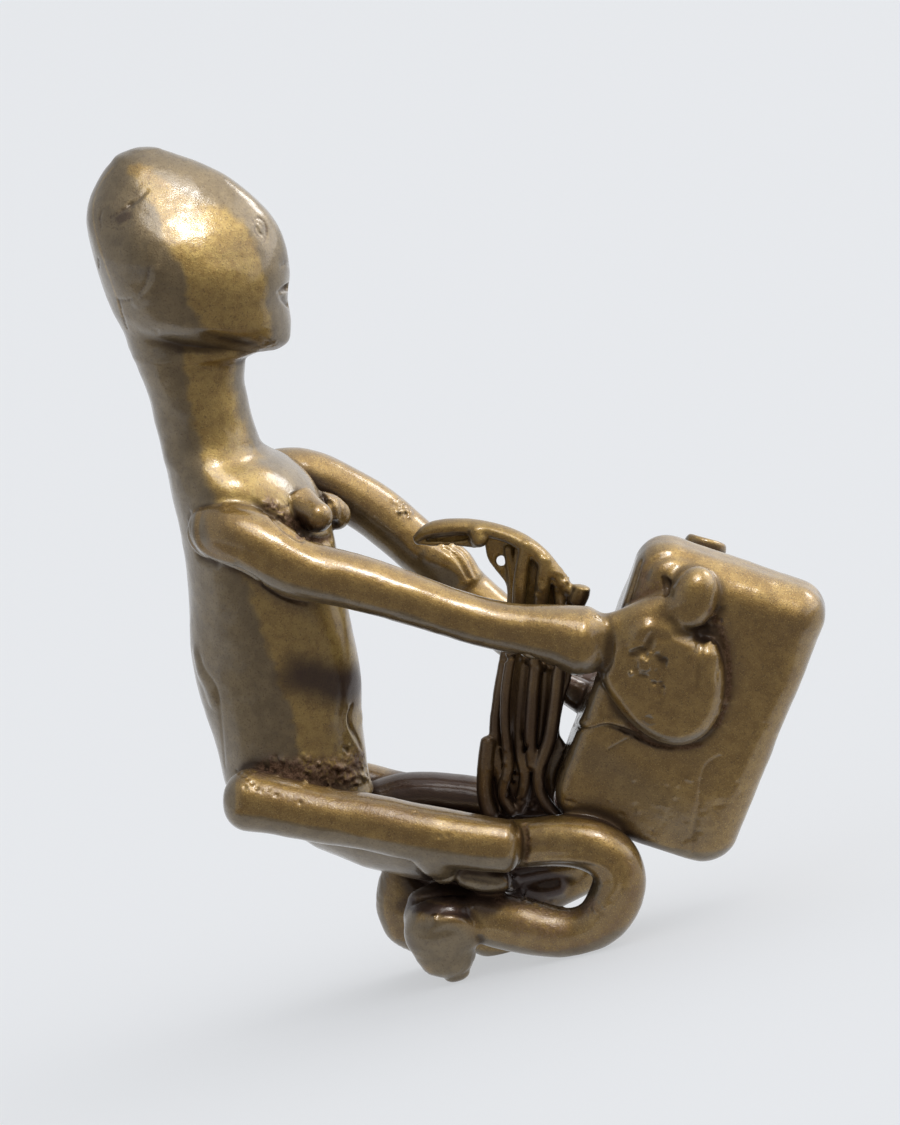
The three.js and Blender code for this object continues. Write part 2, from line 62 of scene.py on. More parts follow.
def at_y(px, py, y):
    d = ray(px, py)
    return CAM + d * ((y - CAM[1]) / d[1])


def to_px(p):
    q = np.asarray(p, float) - CAM
    z = -(q @ BACK)
    return IMG_W / 2 + FOCAL * (q @ CAM_X) / z, IMG_H / 2 - FOCAL * (q @ CAM_Y) / z, z


def st(*rows):
    """Roll stations read off the view: pixel x, pixel y, depth y in mm, radius in pixels, sideways factor."""
    out = []
    for r in rows:
        p = at_y(*r[:3])
        s = r[3] * ((CAM - p) @ BACK) / FOCAL
        out.append((*p, s, s * (r[4] if len(r) > 4 else 1.0)))
    return out


# ------------------------------------------------------------------ element data, mm
# HEAD, NECK, TORSO: oval slices (x, y, z, half depth, half width, tilt, turn).
# Others: stations of a roll (x, y, z, radius up and down, radius sideways).
HEAD = [
    (-14.42, 0, 37.26, 1.2, 0.85, -13.95, 0), (-14.5, 0, 37, 2, 1.3, -13.94, 0),
    (-14.26, 0, 36.44, 3.03, 1.85, -13.93, 0), (-13.85, 0, 35.54, 4.28, 2.55, -13.92, 0),
    (-13.58, 0, 34.34, 5.49, 3.4, -13.9, 0), (-13.47, 0, 32.86, 6.56, 4.4, -13.88, 0),
    (-13.31, 0, 31.21, 7.31, 5.4, -13.86, 0), (-13.23, 0, 29.56, 7.57, 6.15, -13.83, 0),
    (-13.28, 0, 27.94, 7.57, 6.55, -13.81, 0), (-13.45, 0, 26.35, 7.38, 6.6, -13.78, 0),
    (-13.69, 0, 24.78, 7.03, 6.25, -13.76, 0), (-13.62, 0, 23.14, 6.75, 5.5, -13.73, 0),
    (-13.59, 0, 22.09, 6.44, 4.3, -13.71, 0), (-13.79, 0, 21.4, 6.21, 3.2, -13.68, 0.12),
    (-14.13, 0, 21.07, 5.9, 2.3, -13.62, 0.42),
]
# where the head swells most on its sides: share towards the back, by height
HEAD_SWELL = ([22.0, 25.5, 29.0, 33.0, 37.0], [-0.05, 0.0, 0.22, 0.34, 0.28])
NECK = [
    (-14.93, 0, 21.02, 4.98, 4.15, -13.58, 0.6), (-15.37, 0, 20.64, 4.42, 4, -13.5, 0.96),
    (-15.61, 0, 19.96, 4.15, 3.85, -13.38, 1.5), (-15.78, 0, 18.78, 3.91, 3.8, -13.17, 2.4),
    (-15.87, 0, 17.16, 3.78, 3.85, -12.88, 3.6), (-15.93, 0, 15.53, 3.77, 4, -12.59, 4.8),
    (-15.89, 0, 14.05, 3.79, 4.3, -12.31, 5.88),
]
TORSO = [
    (-15.88, 0, 13.88, 3.8, 4.4, -12.28, 6), (-15.78, 0, 12.87, 3.93, 4.9, -11.97, 7.2),
    (-15.22, 0, 11.91, 4.48, 5.4, -11.71, 8.2), (-14.73, 0, 10.73, 5.03, 5.9, -11.36, 9.5),
    (-14.44, 0, 9.42, 5.44, 6.1, -10.94, 11), (-14.26, 0, 7.73, 5.72, 6.1, -10.68, 11.8),
    (-14.28, 0, 6.09, 5.89, 5.9, -10.73, 11.4), (-14.51, 0, 3.67, 5.99, 5.6, -10.8, 10.8),
    (-14.96, 0, 0.47, 6.23, 5.4, -10.91, 10), (-15.46, 0, -2.72, 6.59, 5.3, -11.02, 9.2),
    (-15.8, 0, -5.96, 6.58, 5.3, -11.14, 8.4), (-16.14, 0, -9.21, 6.07, 5.2, -11.42, 7),
    (-16.37, 0, -12.07, 5.8, 5.2, -11.82, 5.25), (-16.53, 0, -14.12, 5.71, 5.2, -12.11, 4),
    (-16.41, 0, -15.1, 5.66, 5.05, -12.28, 3.6),
]
ARM_RIGHT = st(
    (214, 530, -4.9, 29), (232, 534, -6.0, 31), (258, 545, -6.5, 31.5), (300, 568, -6.7, 30), (340, 578, -6.6, 28.5),
    (400, 595.5, -6.4, 26.5), (440, 609, -6.2, 25), (480, 621.5, -6.0, 24.5), (520, 629.5, -5.8, 26), (553, 634, -5.6, 30.5),
    (579, 640, -5.4, 35.5))
ARM_LEFT = [
    (-14.08, 5.6, 8.91, 2.13, 2.13), (-11.96, 6.4, 8.72, 2.13, 2.13), (-9.91, 7, 7.52, 2.13, 2.13),
    (-7.99, 7.4, 5.72, 2.13, 2.13), (-6.11, 7.6, 3.64, 2.13, 2.13), (-4.62, 7.6, 1.54, 2.13, 2.13),
    (-3.1, 7.4, -0.61, 2.09, 2.09), (-1.31, 7, -3.36, 2.05, 2.05), (1.16, 6.5, -6.75, 2.05, 2.05),
    (3.71, 5.8, -9.93, 1.97, 1.97), (5.95, 5.2, -12.64, 1.89, 1.89), (7.58, 4.9, -14.37, 1.89, 1.89),
]
LEG_RIGHT = st(
    (400, 826, -3.2, 25), (440, 835, -3.4, 25), (480, 842, -3.6, 25), (525, 843, -3.8, 25), (560, 841, -4.0, 26),
    (590, 845, -4.2, 27), (611, 858, -4.3, 27), (619, 877, -4.3, 26.5), (614, 900, -4.3, 27), (600, 920, -4.2, 25.2),
    (575, 932, -4.1, 24.5), (548, 931, -4.0, 26.5), (520, 925, -3.8, 28), (490, 918, -3.5, 27.5), (462, 909, -3.0, 26),
    (440, 902, -2.7, 22))
LEG_LEFT = st(
    (375, 806, 3.0, 25), (400, 800, 3.2, 26), (440, 798, 3.4, 26), (480, 803, 3.6, 25), (520, 810, 3.8, 25),
    (556, 820, 4.0, 26), (580, 836, 4.0, 27), (588, 856, 4.0, 27), (578, 871, 3.8, 25), (557, 883, 3.4, 23.5),
    (530, 903, 2.8, 25), (504, 933, 2.3, 25.5), (480, 930, 2.3, 23), (452, 911, 2.4, 20))
RIM_RIGHT = st(
    (251, 800, -6.0, 31.5), (280, 806, -6.1, 29.5), (320, 814.5, -6.1, 28.5), (372, 823, -6.1, 28.5),
    (430, 835, -6.1, 29.5), (478, 843, -6.1, 28.5), (507, 846, -6.1, 26.5))
RIM_LEFT = [
    (-19.57, 5.4, -13.74, 1.91, 1.91), (-17.41, 5.5, -14.95, 1.91, 1.91), (-14.41, 5.5, -16.23, 1.91, 1.91),
    (-10.59, 5.5, -18.14, 1.91, 1.91), (-6.28, 5.5, -20.06, 1.9, 1.9), (-2.57, 5.5, -21.69, 1.86, 1.86),
    (-0.85, 5.5, -22.42, 1.82, 1.82),
]
HARP_NECK = st(
    (417, 538.5, 0.4, 5, 1.8), (425, 532, 0.4, 6.5, 1.7), (440, 528, 0.4, 7.5, 1.7), (462, 526.5, 0.3, 7.5, 1.7),
    (486, 529, 0.1, 7.5, 1.7), (508, 535, -0.1, 7.5, 1.7), (524, 543, -0.3, 8, 1.6), (538, 554, -0.4, 8.5, 1.4),
    (550, 567, -0.5, 8.5, 1.2), (560, 580, -0.5, 8, 1.1), (568, 590, -0.5, 7.5, 1.0))
LIP = st((417, 542.5, 0.2, 2.6), (434, 543.5, 0.0, 2.6), (450, 543.5, 0.0, 2.6), (464, 543, -0.1, 3.6), (474, 542, -0.3, 5.5))
LUMP = st((476, 532, -0.5, 8), (480, 540, -0.6, 8.5))
STRING_1 = st((509, 548, 0.5, 5), (513, 590, 0.5, 6), (509, 640, 0.3, 6.5), (502, 680, 0.1, 6.5), (497, 710, 0.1, 6.5),
              (496, 740, 0.1, 6.5), (500, 770, 0.0, 6), (503, 790, 0.0, 6), (511, 810, 0.0, 6.5))
STRING_2 = st((526, 545, -0.9, 6.5), (521, 575, -1.0, 7), (518, 610, -1.0, 7), (512, 650, -0.9, 6), (506, 690, -0.9, 5.2),
              (505, 725, -0.9, 5.2), (508, 755, -0.8, 5.2), (507, 775, -0.8, 5.5), (503, 792, -0.7, 5.5), (512, 812, -0.6, 6))
STRING_3 = st((532, 556, 0.8, 6), (530, 606, 0.7, 6), (524, 660, 0.5, 6), (520, 700, 0.5, 6), (518, 735, 0.3, 6.5),
              (521, 755, -0.2, 6.5), (525, 772, -0.4, 6.5), (523, 795, -0.3, 6.5), (519, 810, -0.2, 6))
STRING_4 = st((545, 560, -0.9, 7), (542, 590, -1.0, 7.5), (539, 625, -0.9, 7), (535, 670, -0.8, 6.5), (532, 710, -0.8, 6.5),
              (531, 745, -0.8, 6.5), (533, 764, -0.7, 6))
STRING_5 = st((553, 570, 0.6, 6), (549, 610, 0.6, 6), (545, 660, 0.5, 6), (543, 700, 0.4, 6), (539, 740, 0.3, 6),
              (534, 775, 0.3, 6), (532, 805, 0.3, 6))
STRING_6 = st((557, 572, -0.2, 6.5), (560, 600, -0.6, 6.5), (561, 640, -0.9, 7), (558, 680, -0.9, 7), (554, 715, -0.9, 7),
              (549, 742, -0.9, 7), (541, 765, -0.9, 6.8), (539, 785, -0.9, 6.8), (546, 804, -0.9, 6.8), (557, 816, -0.9, 6))
STRING_7 = st((565, 586, 0.4, 6.5), (568, 612, 0.6, 6), (569, 645, 0.8, 6), (567, 672, 0.9, 6))
STRING_HEEL = st((488, 742, -0.3, 8), (485, 768, -0.3, 8.5), (486, 800, -0.3, 8.5), (490, 814, -0.3, 9))
NECK_STUB = st((576, 603, -0.7, 10), (580, 594, -0.7, 10), (582, 587, -0.7, 9.5))
BREAST_RIGHT = st((299, 505, -2.2, 20), (308, 511, -2.8, 17.5), (318, 517, -3.5, 15.5))
BREAST_LEFT = [
    (-9.15, 1.6, 5.98, 1.65, 1.65), (-8.65, 2.1, 5.75, 1.41, 1.41), (-8.27, 2.5, 5.32, 1.18, 1.18),
]
NAVEL = [
    (-11.28, -0.6, -10.03, 1.33, 1.33), (-10.76, -0.8, -10.1, 1.25, 1.25),
]
SEAT_STUB = st((436, 853, -5.6, 22), (443, 864, -5.3, 20), (446, 871, -5.1, 15))
FOOT_RIGHT = st((438, 899, -2.9, 31, .7), (439, 912, -3.4, 37, .75), (441, 923, -4.3, 39, .8), (445, 940, -4.5, 38, .76),
                (449, 956, -4.5, 30.5, .74), (454, 966, -4.45, 23.5, .8), (457, 973, -4.4, 14, .85))
FOOT_LEFT = [
    (-10.94, 2.2, -22.96, 1.11, 1), (-11.16, 2.4, -24.23, 1.9, 1.52), (-11.11, 2.6, -25.73, 2.69, 1.94),
    (-10.99, 2.6, -27.35, 2.85, 2), (-10.86, 2.6, -28.99, 2.38, 1.67), (-10.78, 2.6, -30.19, 1.19, 0.95),
]
WEB = [(483, 528), (486, 545), (487, 557), (497, 571), (505, 581), (509, 590), (513, 604), (522, 606), (528, 560),
       (524, 545), (505, 533)]
WEB_HOLE = (501.5, 560.5, 5.6)             # pixel x, pixel y, radius in pixels
FAN = [(514, 548), (535, 552), (560, 574), (573, 590), (573, 676), (567, 690), (561, 712), (558, 735), (566, 744),
       (564, 760), (557, 785), (553, 800), (560, 816), (484, 816), (482, 790), (485, 770), (491, 742), (494, 705), (503, 655), (512, 606)]
HOOK_BACK = [(416, 537), (440, 526), (476, 525), (486, 545), (460, 544.5), (438, 544.5), (417, 543.5)]
HAND_OUTLINE = [(602, 650), (610, 626), (626, 612), (648, 603), (672, 608), (692, 628), (706, 637), (717, 646), (725, 662),
                (725, 690), (720, 712), (706, 733), (686, 742), (664, 740), (646, 731), (631, 720), (617, 703), (604, 684),
                (598, 668)]
BOX_LENGTH, BOX_WIDTH, BOX_THICKNESS = 24.0, 14.7, 7.2
BOX_CENTRE = np.array([15.19, -0.08, -14.61])
BOX_LONG = np.array([0.5737, -0.074, 0.8157])
BOX_ACROSS = np.array([0.8161, 0.1358, -0.5617])
PLATE_THICKNESS = 1.3
PLATE_SAG = [1.6, 3.75, 4.7, 4.85, 4.85, 4.7, 4.2]
THUMB_RIGHT_CENTRE = at_y(692, 599, -4.9)
HAND_LEFT_CENTRE = np.array([14.54, 4.5, -11.95])
THUMB_LEFT_CENTRE = at_y(704, 550, 3.7)
FLOOR = -31.75

# ------------------------------------------------------------------ voxel grid
STEP = 0.14      # mm
PAD = 1.3                                # mm round each element
GLO = np.array([-23.6, -10.6, -33.2])
GHI = np.array([28.6, 11.4, 39.4])
DIM = np.ceil((GHI - GLO) / STEP).astype(int) + 1
AX = [(GLO[k] + STEP * np.arange(DIM[k])).astype(np.float32) for k in range(3)]


def window(lo, hi):
    i0 = np.maximum(np.floor((np.asarray(lo) - GLO) / STEP).astype(int), 0)
    i1 = np.minimum(np.ceil((np.asarray(hi) - GLO) / STEP).astype(int) + 1, DIM)
    return tuple(slice(int(a), int(b)) for a, b in zip(i0, i1))


def coords(sl):
    g = np.meshgrid(AX[0][sl[0]], AX[1][sl[1]], AX[2][sl[2]], indexing="ij")
    return np.stack([c.ravel() for c in g], 1)


def shape_of(sl):
    return tuple(s.stop - s.start for s in sl)


def cubic(rows, step=0.1):
    """Smooth curve through the rows (natural cubic on chord length), sampled evenly."""
    p = np.array(rows, float)
    d = np.linalg.norm(np.diff(p[:, :3], axis=0), axis=1)
    s = np.r_[0, np.cumsum(np.maximum(d, 1e-3))]
    n, h = len(p), np.diff(s)
    a = np.zeros((n, n)); b = np.zeros_like(p)
    a[0, 0] = a[-1, -1] = 1
    for i in range(1, n - 1):
        a[i, i - 1], a[i, i], a[i, i + 1] = h[i - 1], 2 * (h[i - 1] + h[i]), h[i]
        b[i] = 6 * ((p[i + 1] - p[i]) / h[i] - (p[i] - p[i - 1]) / h[i - 1])
    m = np.linalg.solve(a, b)
    t = np.linspace(0, s[-1], max(8, int(s[-1] / step)))
    k = np.clip(np.searchsorted(s, t, side="right") - 1, 0, n - 2)
    u, v, hk = t - s[k], s[k + 1] - t, h[k]
    u, v, hk = u[:, None], v[:, None], hk[:, None]
    return (m[k] * v ** 3 + m[k + 1] * u ** 3) / (6 * hk) + (p[k] / hk - m[k] * hk / 6) * v + (p[k + 1] / hk - m[k + 1] * hk / 6) * u


def unit(v):
    return v / np.maximum(np.linalg.norm(v, axis=-1, keepdims=True), 1e-9)


def oval(u, v, w, a, b, c):
    """Distance-like value of an ellipsoid section (first-order exact at the surface)."""
    k0 = np.sqrt((u / a) ** 2 + (v / b) ** 2 + (w / c) ** 2)
    k1 = np.sqrt((u / a ** 2) ** 2 + (v / b ** 2) ** 2 + (w / c ** 2) ** 2)
    return np.where(k0 < 0.05, -np.minimum(a, b), k0 * (k0 - 1) / np.maximum(k1, 1e-6))


def roll_field(rows, caps=(0.8, 0.8), lateral=(0, 1, 0), power=None):
    s = cubic(rows)
    c = s[:, :3]
    t = unit(np.gradient(c, axis=0))
    g = unit(np.array(lateral, float) - t * (t @ np.array(lateral, float))[:, None])
    f = np.cross(t, g)
    a, b = s[:, 3], s[:, 4]
    mid = c.mean(0)
    cc = (c - mid).astype(np.float32)
    c2 = (cc * cc).sum(1)

    def field(q):
        out = np.empty(len(q), np.float32)
        for i in range(0, len(q), 40000):
            p = q[i:i + 40000] - mid.astype(np.float32)
            k = np.argmin(c2[None] - 2 * p @ cc.T, axis=1)
            d = p - cc[k]
            w = (d * t[k]).sum(1)
            cap = np.where(k == 0, np.minimum(w, 0) / caps[0], np.where(k == len(c) - 1, np.maximum(w, 0) / caps[1], 0.0))
            r = np.minimum(a[k], b[k])
            out[i:i + 40000] = oval((d * f[k]).sum(1), (d * g[k]).sum(1), cap, a[k], b[k], r)
        return out
    rm = max(a.max(), b.max()) + PAD
    return field, c.min(0) - rm, c.max(0) + rm


def slices_field(rows, top=0.4, bottom=0.6, swell=((0.0, 1.0), (0.0, 0.0))):
    """Body through tilted oval slices, listed from the top down; swell moves the widest place towards the back."""
    s = cubic(rows)
    c, a, b = s[:, :3], np.maximum(s[:, 3], 0.3), np.maximum(s[:, 4], 0.3)
    tilt, turn = np.radians(s[:, 5]), np.radians(s[:, 6])
    f = np.stack([np.cos(turn) * np.cos(tilt), -np.sin(turn) * np.cos(tilt), np.sin(tilt)], 1)
    g = np.stack([np.sin(turn), np.cos(turn), 0 * turn], 1)
    n = np.cross(f, g)                     # points up
    cn = (c * n).sum(1)
    da = np.gradient(a) / np.maximum(-np.gradient(cn), 1e-3)
    m = len(c)
    back = np.interp(c[:, 2], *swell)

    def field(q):
        out = np.empty(len(q), np.float32)
        n32, cn32 = n.T.astype(np.float32), cn.astype(np.float32)
        for i in range(0, len(q), 30000):
            p = q[i:i + 30000]
            h = p @ n32 - cn32[None]
            cnt = (h < 0).sum(1)
            k = np.clip(cnt - 1, 0, m - 2)
            r = np.arange(len(p))
            h0, h1 = h[r, k], h[r, k + 1]
            t = np.clip(-h0 / np.where(np.abs(h1 - h0) < 1e-6, 1e-6, h1 - h0), 0, 1)[:, None]
            ck = c[k] * (1 - t) + c[k + 1] * t
            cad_, gk = f[k] * (1 - t) + f[k + 1] * t, g[k] * (1 - t) + g[k + 1] * t
            t1 = t[:, 0]
            ak, bk = a[k] * (1 - t1) + a[k + 1] * t1, b[k] * (1 - t1) + b[k + 1] * t1
            w = np.where(cnt == 0, np.maximum(h[:, 0], 0) / top, np.where(cnt >= m, np.minimum(h[:, -1], 0) / bottom, 0.0))
            d = p - ck
            fore = (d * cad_).sum(1)
            bk = bk * (1 - back[k] * np.clip(fore / ak, -1, 1))
            rr = np.minimum(ak, bk)
            slope = np.sqrt(1 + np.clip(da[k], -4, 4) ** 2)
            out[i:i + 30000] = oval(fore, (d * gk).sum(1), w * rr, ak, bk, rr) / slope
        return out
    rm = max(a.max(), b.max()) + PAD
    return field, c.min(0) - rm, c.max(0) + rm


def frame_of(x, y):
    x = unit(np.array(x, float)); y = np.array(y, float)
    y = unit(y - x * (x @ y))
    return np.stack([x, y, np.cross(x, y)])


BOX_AXES = frame_of(BOX_ACROSS, BOX_LONG)


def ball_field(centre, size, axes=BOX_AXES):
    size = np.array(size, float)

    def field(q):
        l = (q - centre) @ axes.T
        return oval(l[:, 0], l[:, 1], l[:, 2], *[np.full(len(l), s) for s in size]).astype(np.float32)
    r = size.max() + PAD
    return field, centre - r, centre + r


def box_field():
    half = np.array([BOX_WIDTH, BOX_LENGTH, BOX_THICKNESS]) / 2
    rc = 2.7                                # corner radius in the outline

    def field(q):
        l = (q - BOX_CENTRE) @ BOX_AXES.T
        # the block is a little wider towards its upper end
        shift = 0.10 + 0.36 * np.clip((l[:, 1] / half[1] + 1) / 2, 0, 1)
        x, y, z = np.abs(l[:, 0] - shift), np.abs(l[:, 1]), l[:, 2]
        # edges rounder at the top and on the right, crisper at the lower left
        up, rt = np.clip(l[:, 1] / half[1] * 1.6 - 0.5, 0, 1), np.clip(l[:, 0] / half[0] * 1.6 - 0.5, 0, 1)
        re = np.minimum(1.35 + 1.5 * up * up * (3 - 2 * up) + 0.7 * rt * rt * (3 - 2 * rt), 3.0)
        # slightly swollen faces, slightly hollow long sides, as a hand-pressed block has
        crown = 0.28 * (1 - (x / half[0]) ** 2) * (1 - (y / half[1]) ** 2)
        hx, hy = half[0] + shift - 0.12 * (1 - (y / half[1]) ** 2), half[1] - 0.1 * (1 - (x / half[0]) ** 2)
        ax, ay = x - (hx - rc), y - (hy - rc)
        flat = np.minimum(np.maximum(ax, ay), 0) + np.hypot(np.maximum(ax, 0), np.maximum(ay, 0)) - rc
        az = np.abs(z) - (half[2] - 0.2 + crown)
        e, k = flat + re, az + re
        return (np.minimum(np.maximum(e, k), 0) + np.hypot(np.maximum(e, 0), np.maximum(k, 0)) - re).astype(np.float32)
    r = np.abs(BOX_AXES.T) @ (half + 0.9) + PAD
    return field, BOX_CENTRE - r, BOX_CENTRE + r


def plate_field():
    rr, ll = cubic(RIM_RIGHT), cubic(RIM_LEFT)
    xs = np.linspace(-20.5, 1.2, 218)
    zr, zl = np.interp(xs, rr[:, 0], rr[:, 2]), np.interp(xs, ll[:, 0], ll[:, 2])
    yr, yl = np.interp(xs, rr[:, 0], rr[:, 1]), np.interp(xs, ll[:, 0], ll[:, 1])
    x0, x1 = rr[0, 0], rr[-1, 0]
    sag = np.interp(np.clip((xs - x0) / (x1 - x0), 0, 1) * 6, np.arange(7), PLATE_SAG)
    front = -1.7

    def field(q):
        x, y, z = q[:, 0], q[:, 1], q[:, 2]
        zr_, zl_, yr_, yl_, sg = (np.interp(x, xs, v) for v in (zr, zl, yr, yl, sag))
        t = np.clip((2 * y - (yr_ + yl_)) / (yl_ - yr_), -1.15, 1.15)
        zm = zr_ + (zl_ - zr_) * (t + 1) / 2 - sg * (1 - t * t)
        slope = np.hypot(2 * sg * t / ((yl_ - yr_) / 2), -0.45)
        d = np.abs(z - zm) / np.sqrt(1 + slope ** 2) - PLATE_THICKNESS / 2
        back_end = x0 - x
        front_end = x - (front - 1.6 * np.clip(-t - 0.1, 0, 1) ** 2)
        e = np.maximum(back_end, front_end)
        side = (np.abs(t) - 1.0) * 5.5
        w = np.maximum(e, side) + 0.45
        k = d + 0.45
        return (np.minimum(np.maximum(w, k), 0) + np.hypot(np.maximum(w, 0), np.maximum(k, 0)) - 0.45).astype(np.float32)
    return field, np.array([-20.8, -8.2, -27.8]), np.array([1.6, 7.8, -12.2])


NEAR_FACE = BOX_AXES[2] * np.sign(BOX_AXES[2] @ BACK)      # out of the box's near face


def outline_distance(u, v, poly):
    """Signed distance in the plane to a closed outline, negative inside."""
    p = np.stack([u, v], 1).astype(np.float32)
    d = np.full(len(p), 1e9, np.float32)
    inside = np.zeros(len(p), bool)
    for i in range(len(poly)):
        a, b = poly[i].astype(np.float32), poly[(i + 1) % len(poly)].astype(np.float32)
        e = b - a
        t = np.clip(((p - a) @ e) / max(float(e @ e), 1e-9), 0, 1)
        r = p - a - t[:, None] * e
        d = np.minimum(d, (r * r).sum(1))
        c = (a[1] > p[:, 1]) != (b[1] > p[:, 1])
        with np.errstate(divide="ignore", invalid="ignore"):
            xc = a[0] + (p[:, 1] - a[1]) * (b[0] - a[0]) / (b[1] - a[1])
        inside ^= c & (p[:, 0] < xc)
    d = np.sqrt(d)
    return np.where(inside, -d, d)


def pad_field(outline, point, normal, height, edge, crown=0.0, under=0.5, hole=None):
    """A pad pressed on a plane: its outline as seen by the camera, rounded edge, slightly domed face."""
    n = unit(np.array(normal, float))
    x = unit(CAM_X - n * (CAM_X @ n)); y = np.cross(n, x)
    poly = []
    for px, py in outline:
        d = ray(px, py)
        p = CAM + d * (((point - CAM) @ n) / (d @ n)) - point
        poly.append((p @ x, p @ y))
    poly = np.array(poly)
    for _ in range(2):                       # round the corners of the outline
        nxt = np.roll(poly, -1, 0)
        poly = np.stack([0.75 * poly + 0.25 * nxt, 0.25 * poly + 0.75 * nxt], 1).reshape(-1, 2)

    def field(q):
        l = q - point
        h = l @ n
        e = outline_distance(l @ x, l @ y, poly)
        s = np.clip(-e / 3.0, 0, 1)
        top = h - (height + crown * s * (2 - s))
        a, b = e + edge, top + edge
        d = np.minimum(np.maximum(a, b), 0) + np.hypot(np.maximum(a, 0), np.maximum(b, 0)) - edge
        d = np.maximum(d, -(h + under))
        if hole is not None:
            ax = ray(hole[0], hole[1])
            w = q - CAM
            along = w @ ax
            r = np.linalg.norm(w - along[:, None] * ax, axis=1)
            d = np.maximum(d, hole[2] * MM_PER_PX - r)
        return d.astype(np.float32)
    c = [point + x * p[0] + y * p[1] for p in poly]
    ends = np.array(c + [v + n * (height + crown) for v in c] + [v - n * under for v in c])
    return field, ends.min(0) - PAD, ends.max(0) + PAD


def joined(parts, k=0.3):
    """Several forms of one element, blended."""
    def field(q):
        out = parts[0][0](q)
        for f in parts[1:]:
            out = smin(out, f[0](q), k)
        return out
    return field, np.min([p[1] for p in parts], 0), np.max([p[2] for p in parts], 0)


def cut_by(part, point, normal, k=0.2):
    """The part with a flat end: what lies beyond the plane is taken off."""
    n = unit(np.array(normal, float))

    def field(q):
        return -smin(-part[0](q), -((q - point) @ n), k)
    return field, part[1], part[2]


# ------------------------------------------------------------------ elements
NECK_TOP = [(-15.3, 0.0, 23.6, 3.1, 2.9, -13.6, 0.0), (-15.1, 0.0, 22.3, 4.2, 3.7, -13.6, 0.3)]
body_rows = NECK_TOP + NECK + TORSO[1:]
SPLIT_Z = 13.95                           # the neck's element ends here

body = slices_field(body_rows, top=0.8, bottom=1.0)


def neck_only(q):
    return np.maximum(body[0](q), (SPLIT_Z - q[:, 2]) - 0.21 * (q[:, 0] + 15.9))


def torso_only(q):
    return np.maximum(body[0](q), -((SPLIT_Z - q[:, 2]) - 0.21 * (q[:, 0] + 15.9)))


FACE_POINT = BOX_CENTRE + NEAR_FACE * (BOX_THICKNESS / 2 - 0.1)
SIDE = np.array([0.0, -1.0, 0.0])

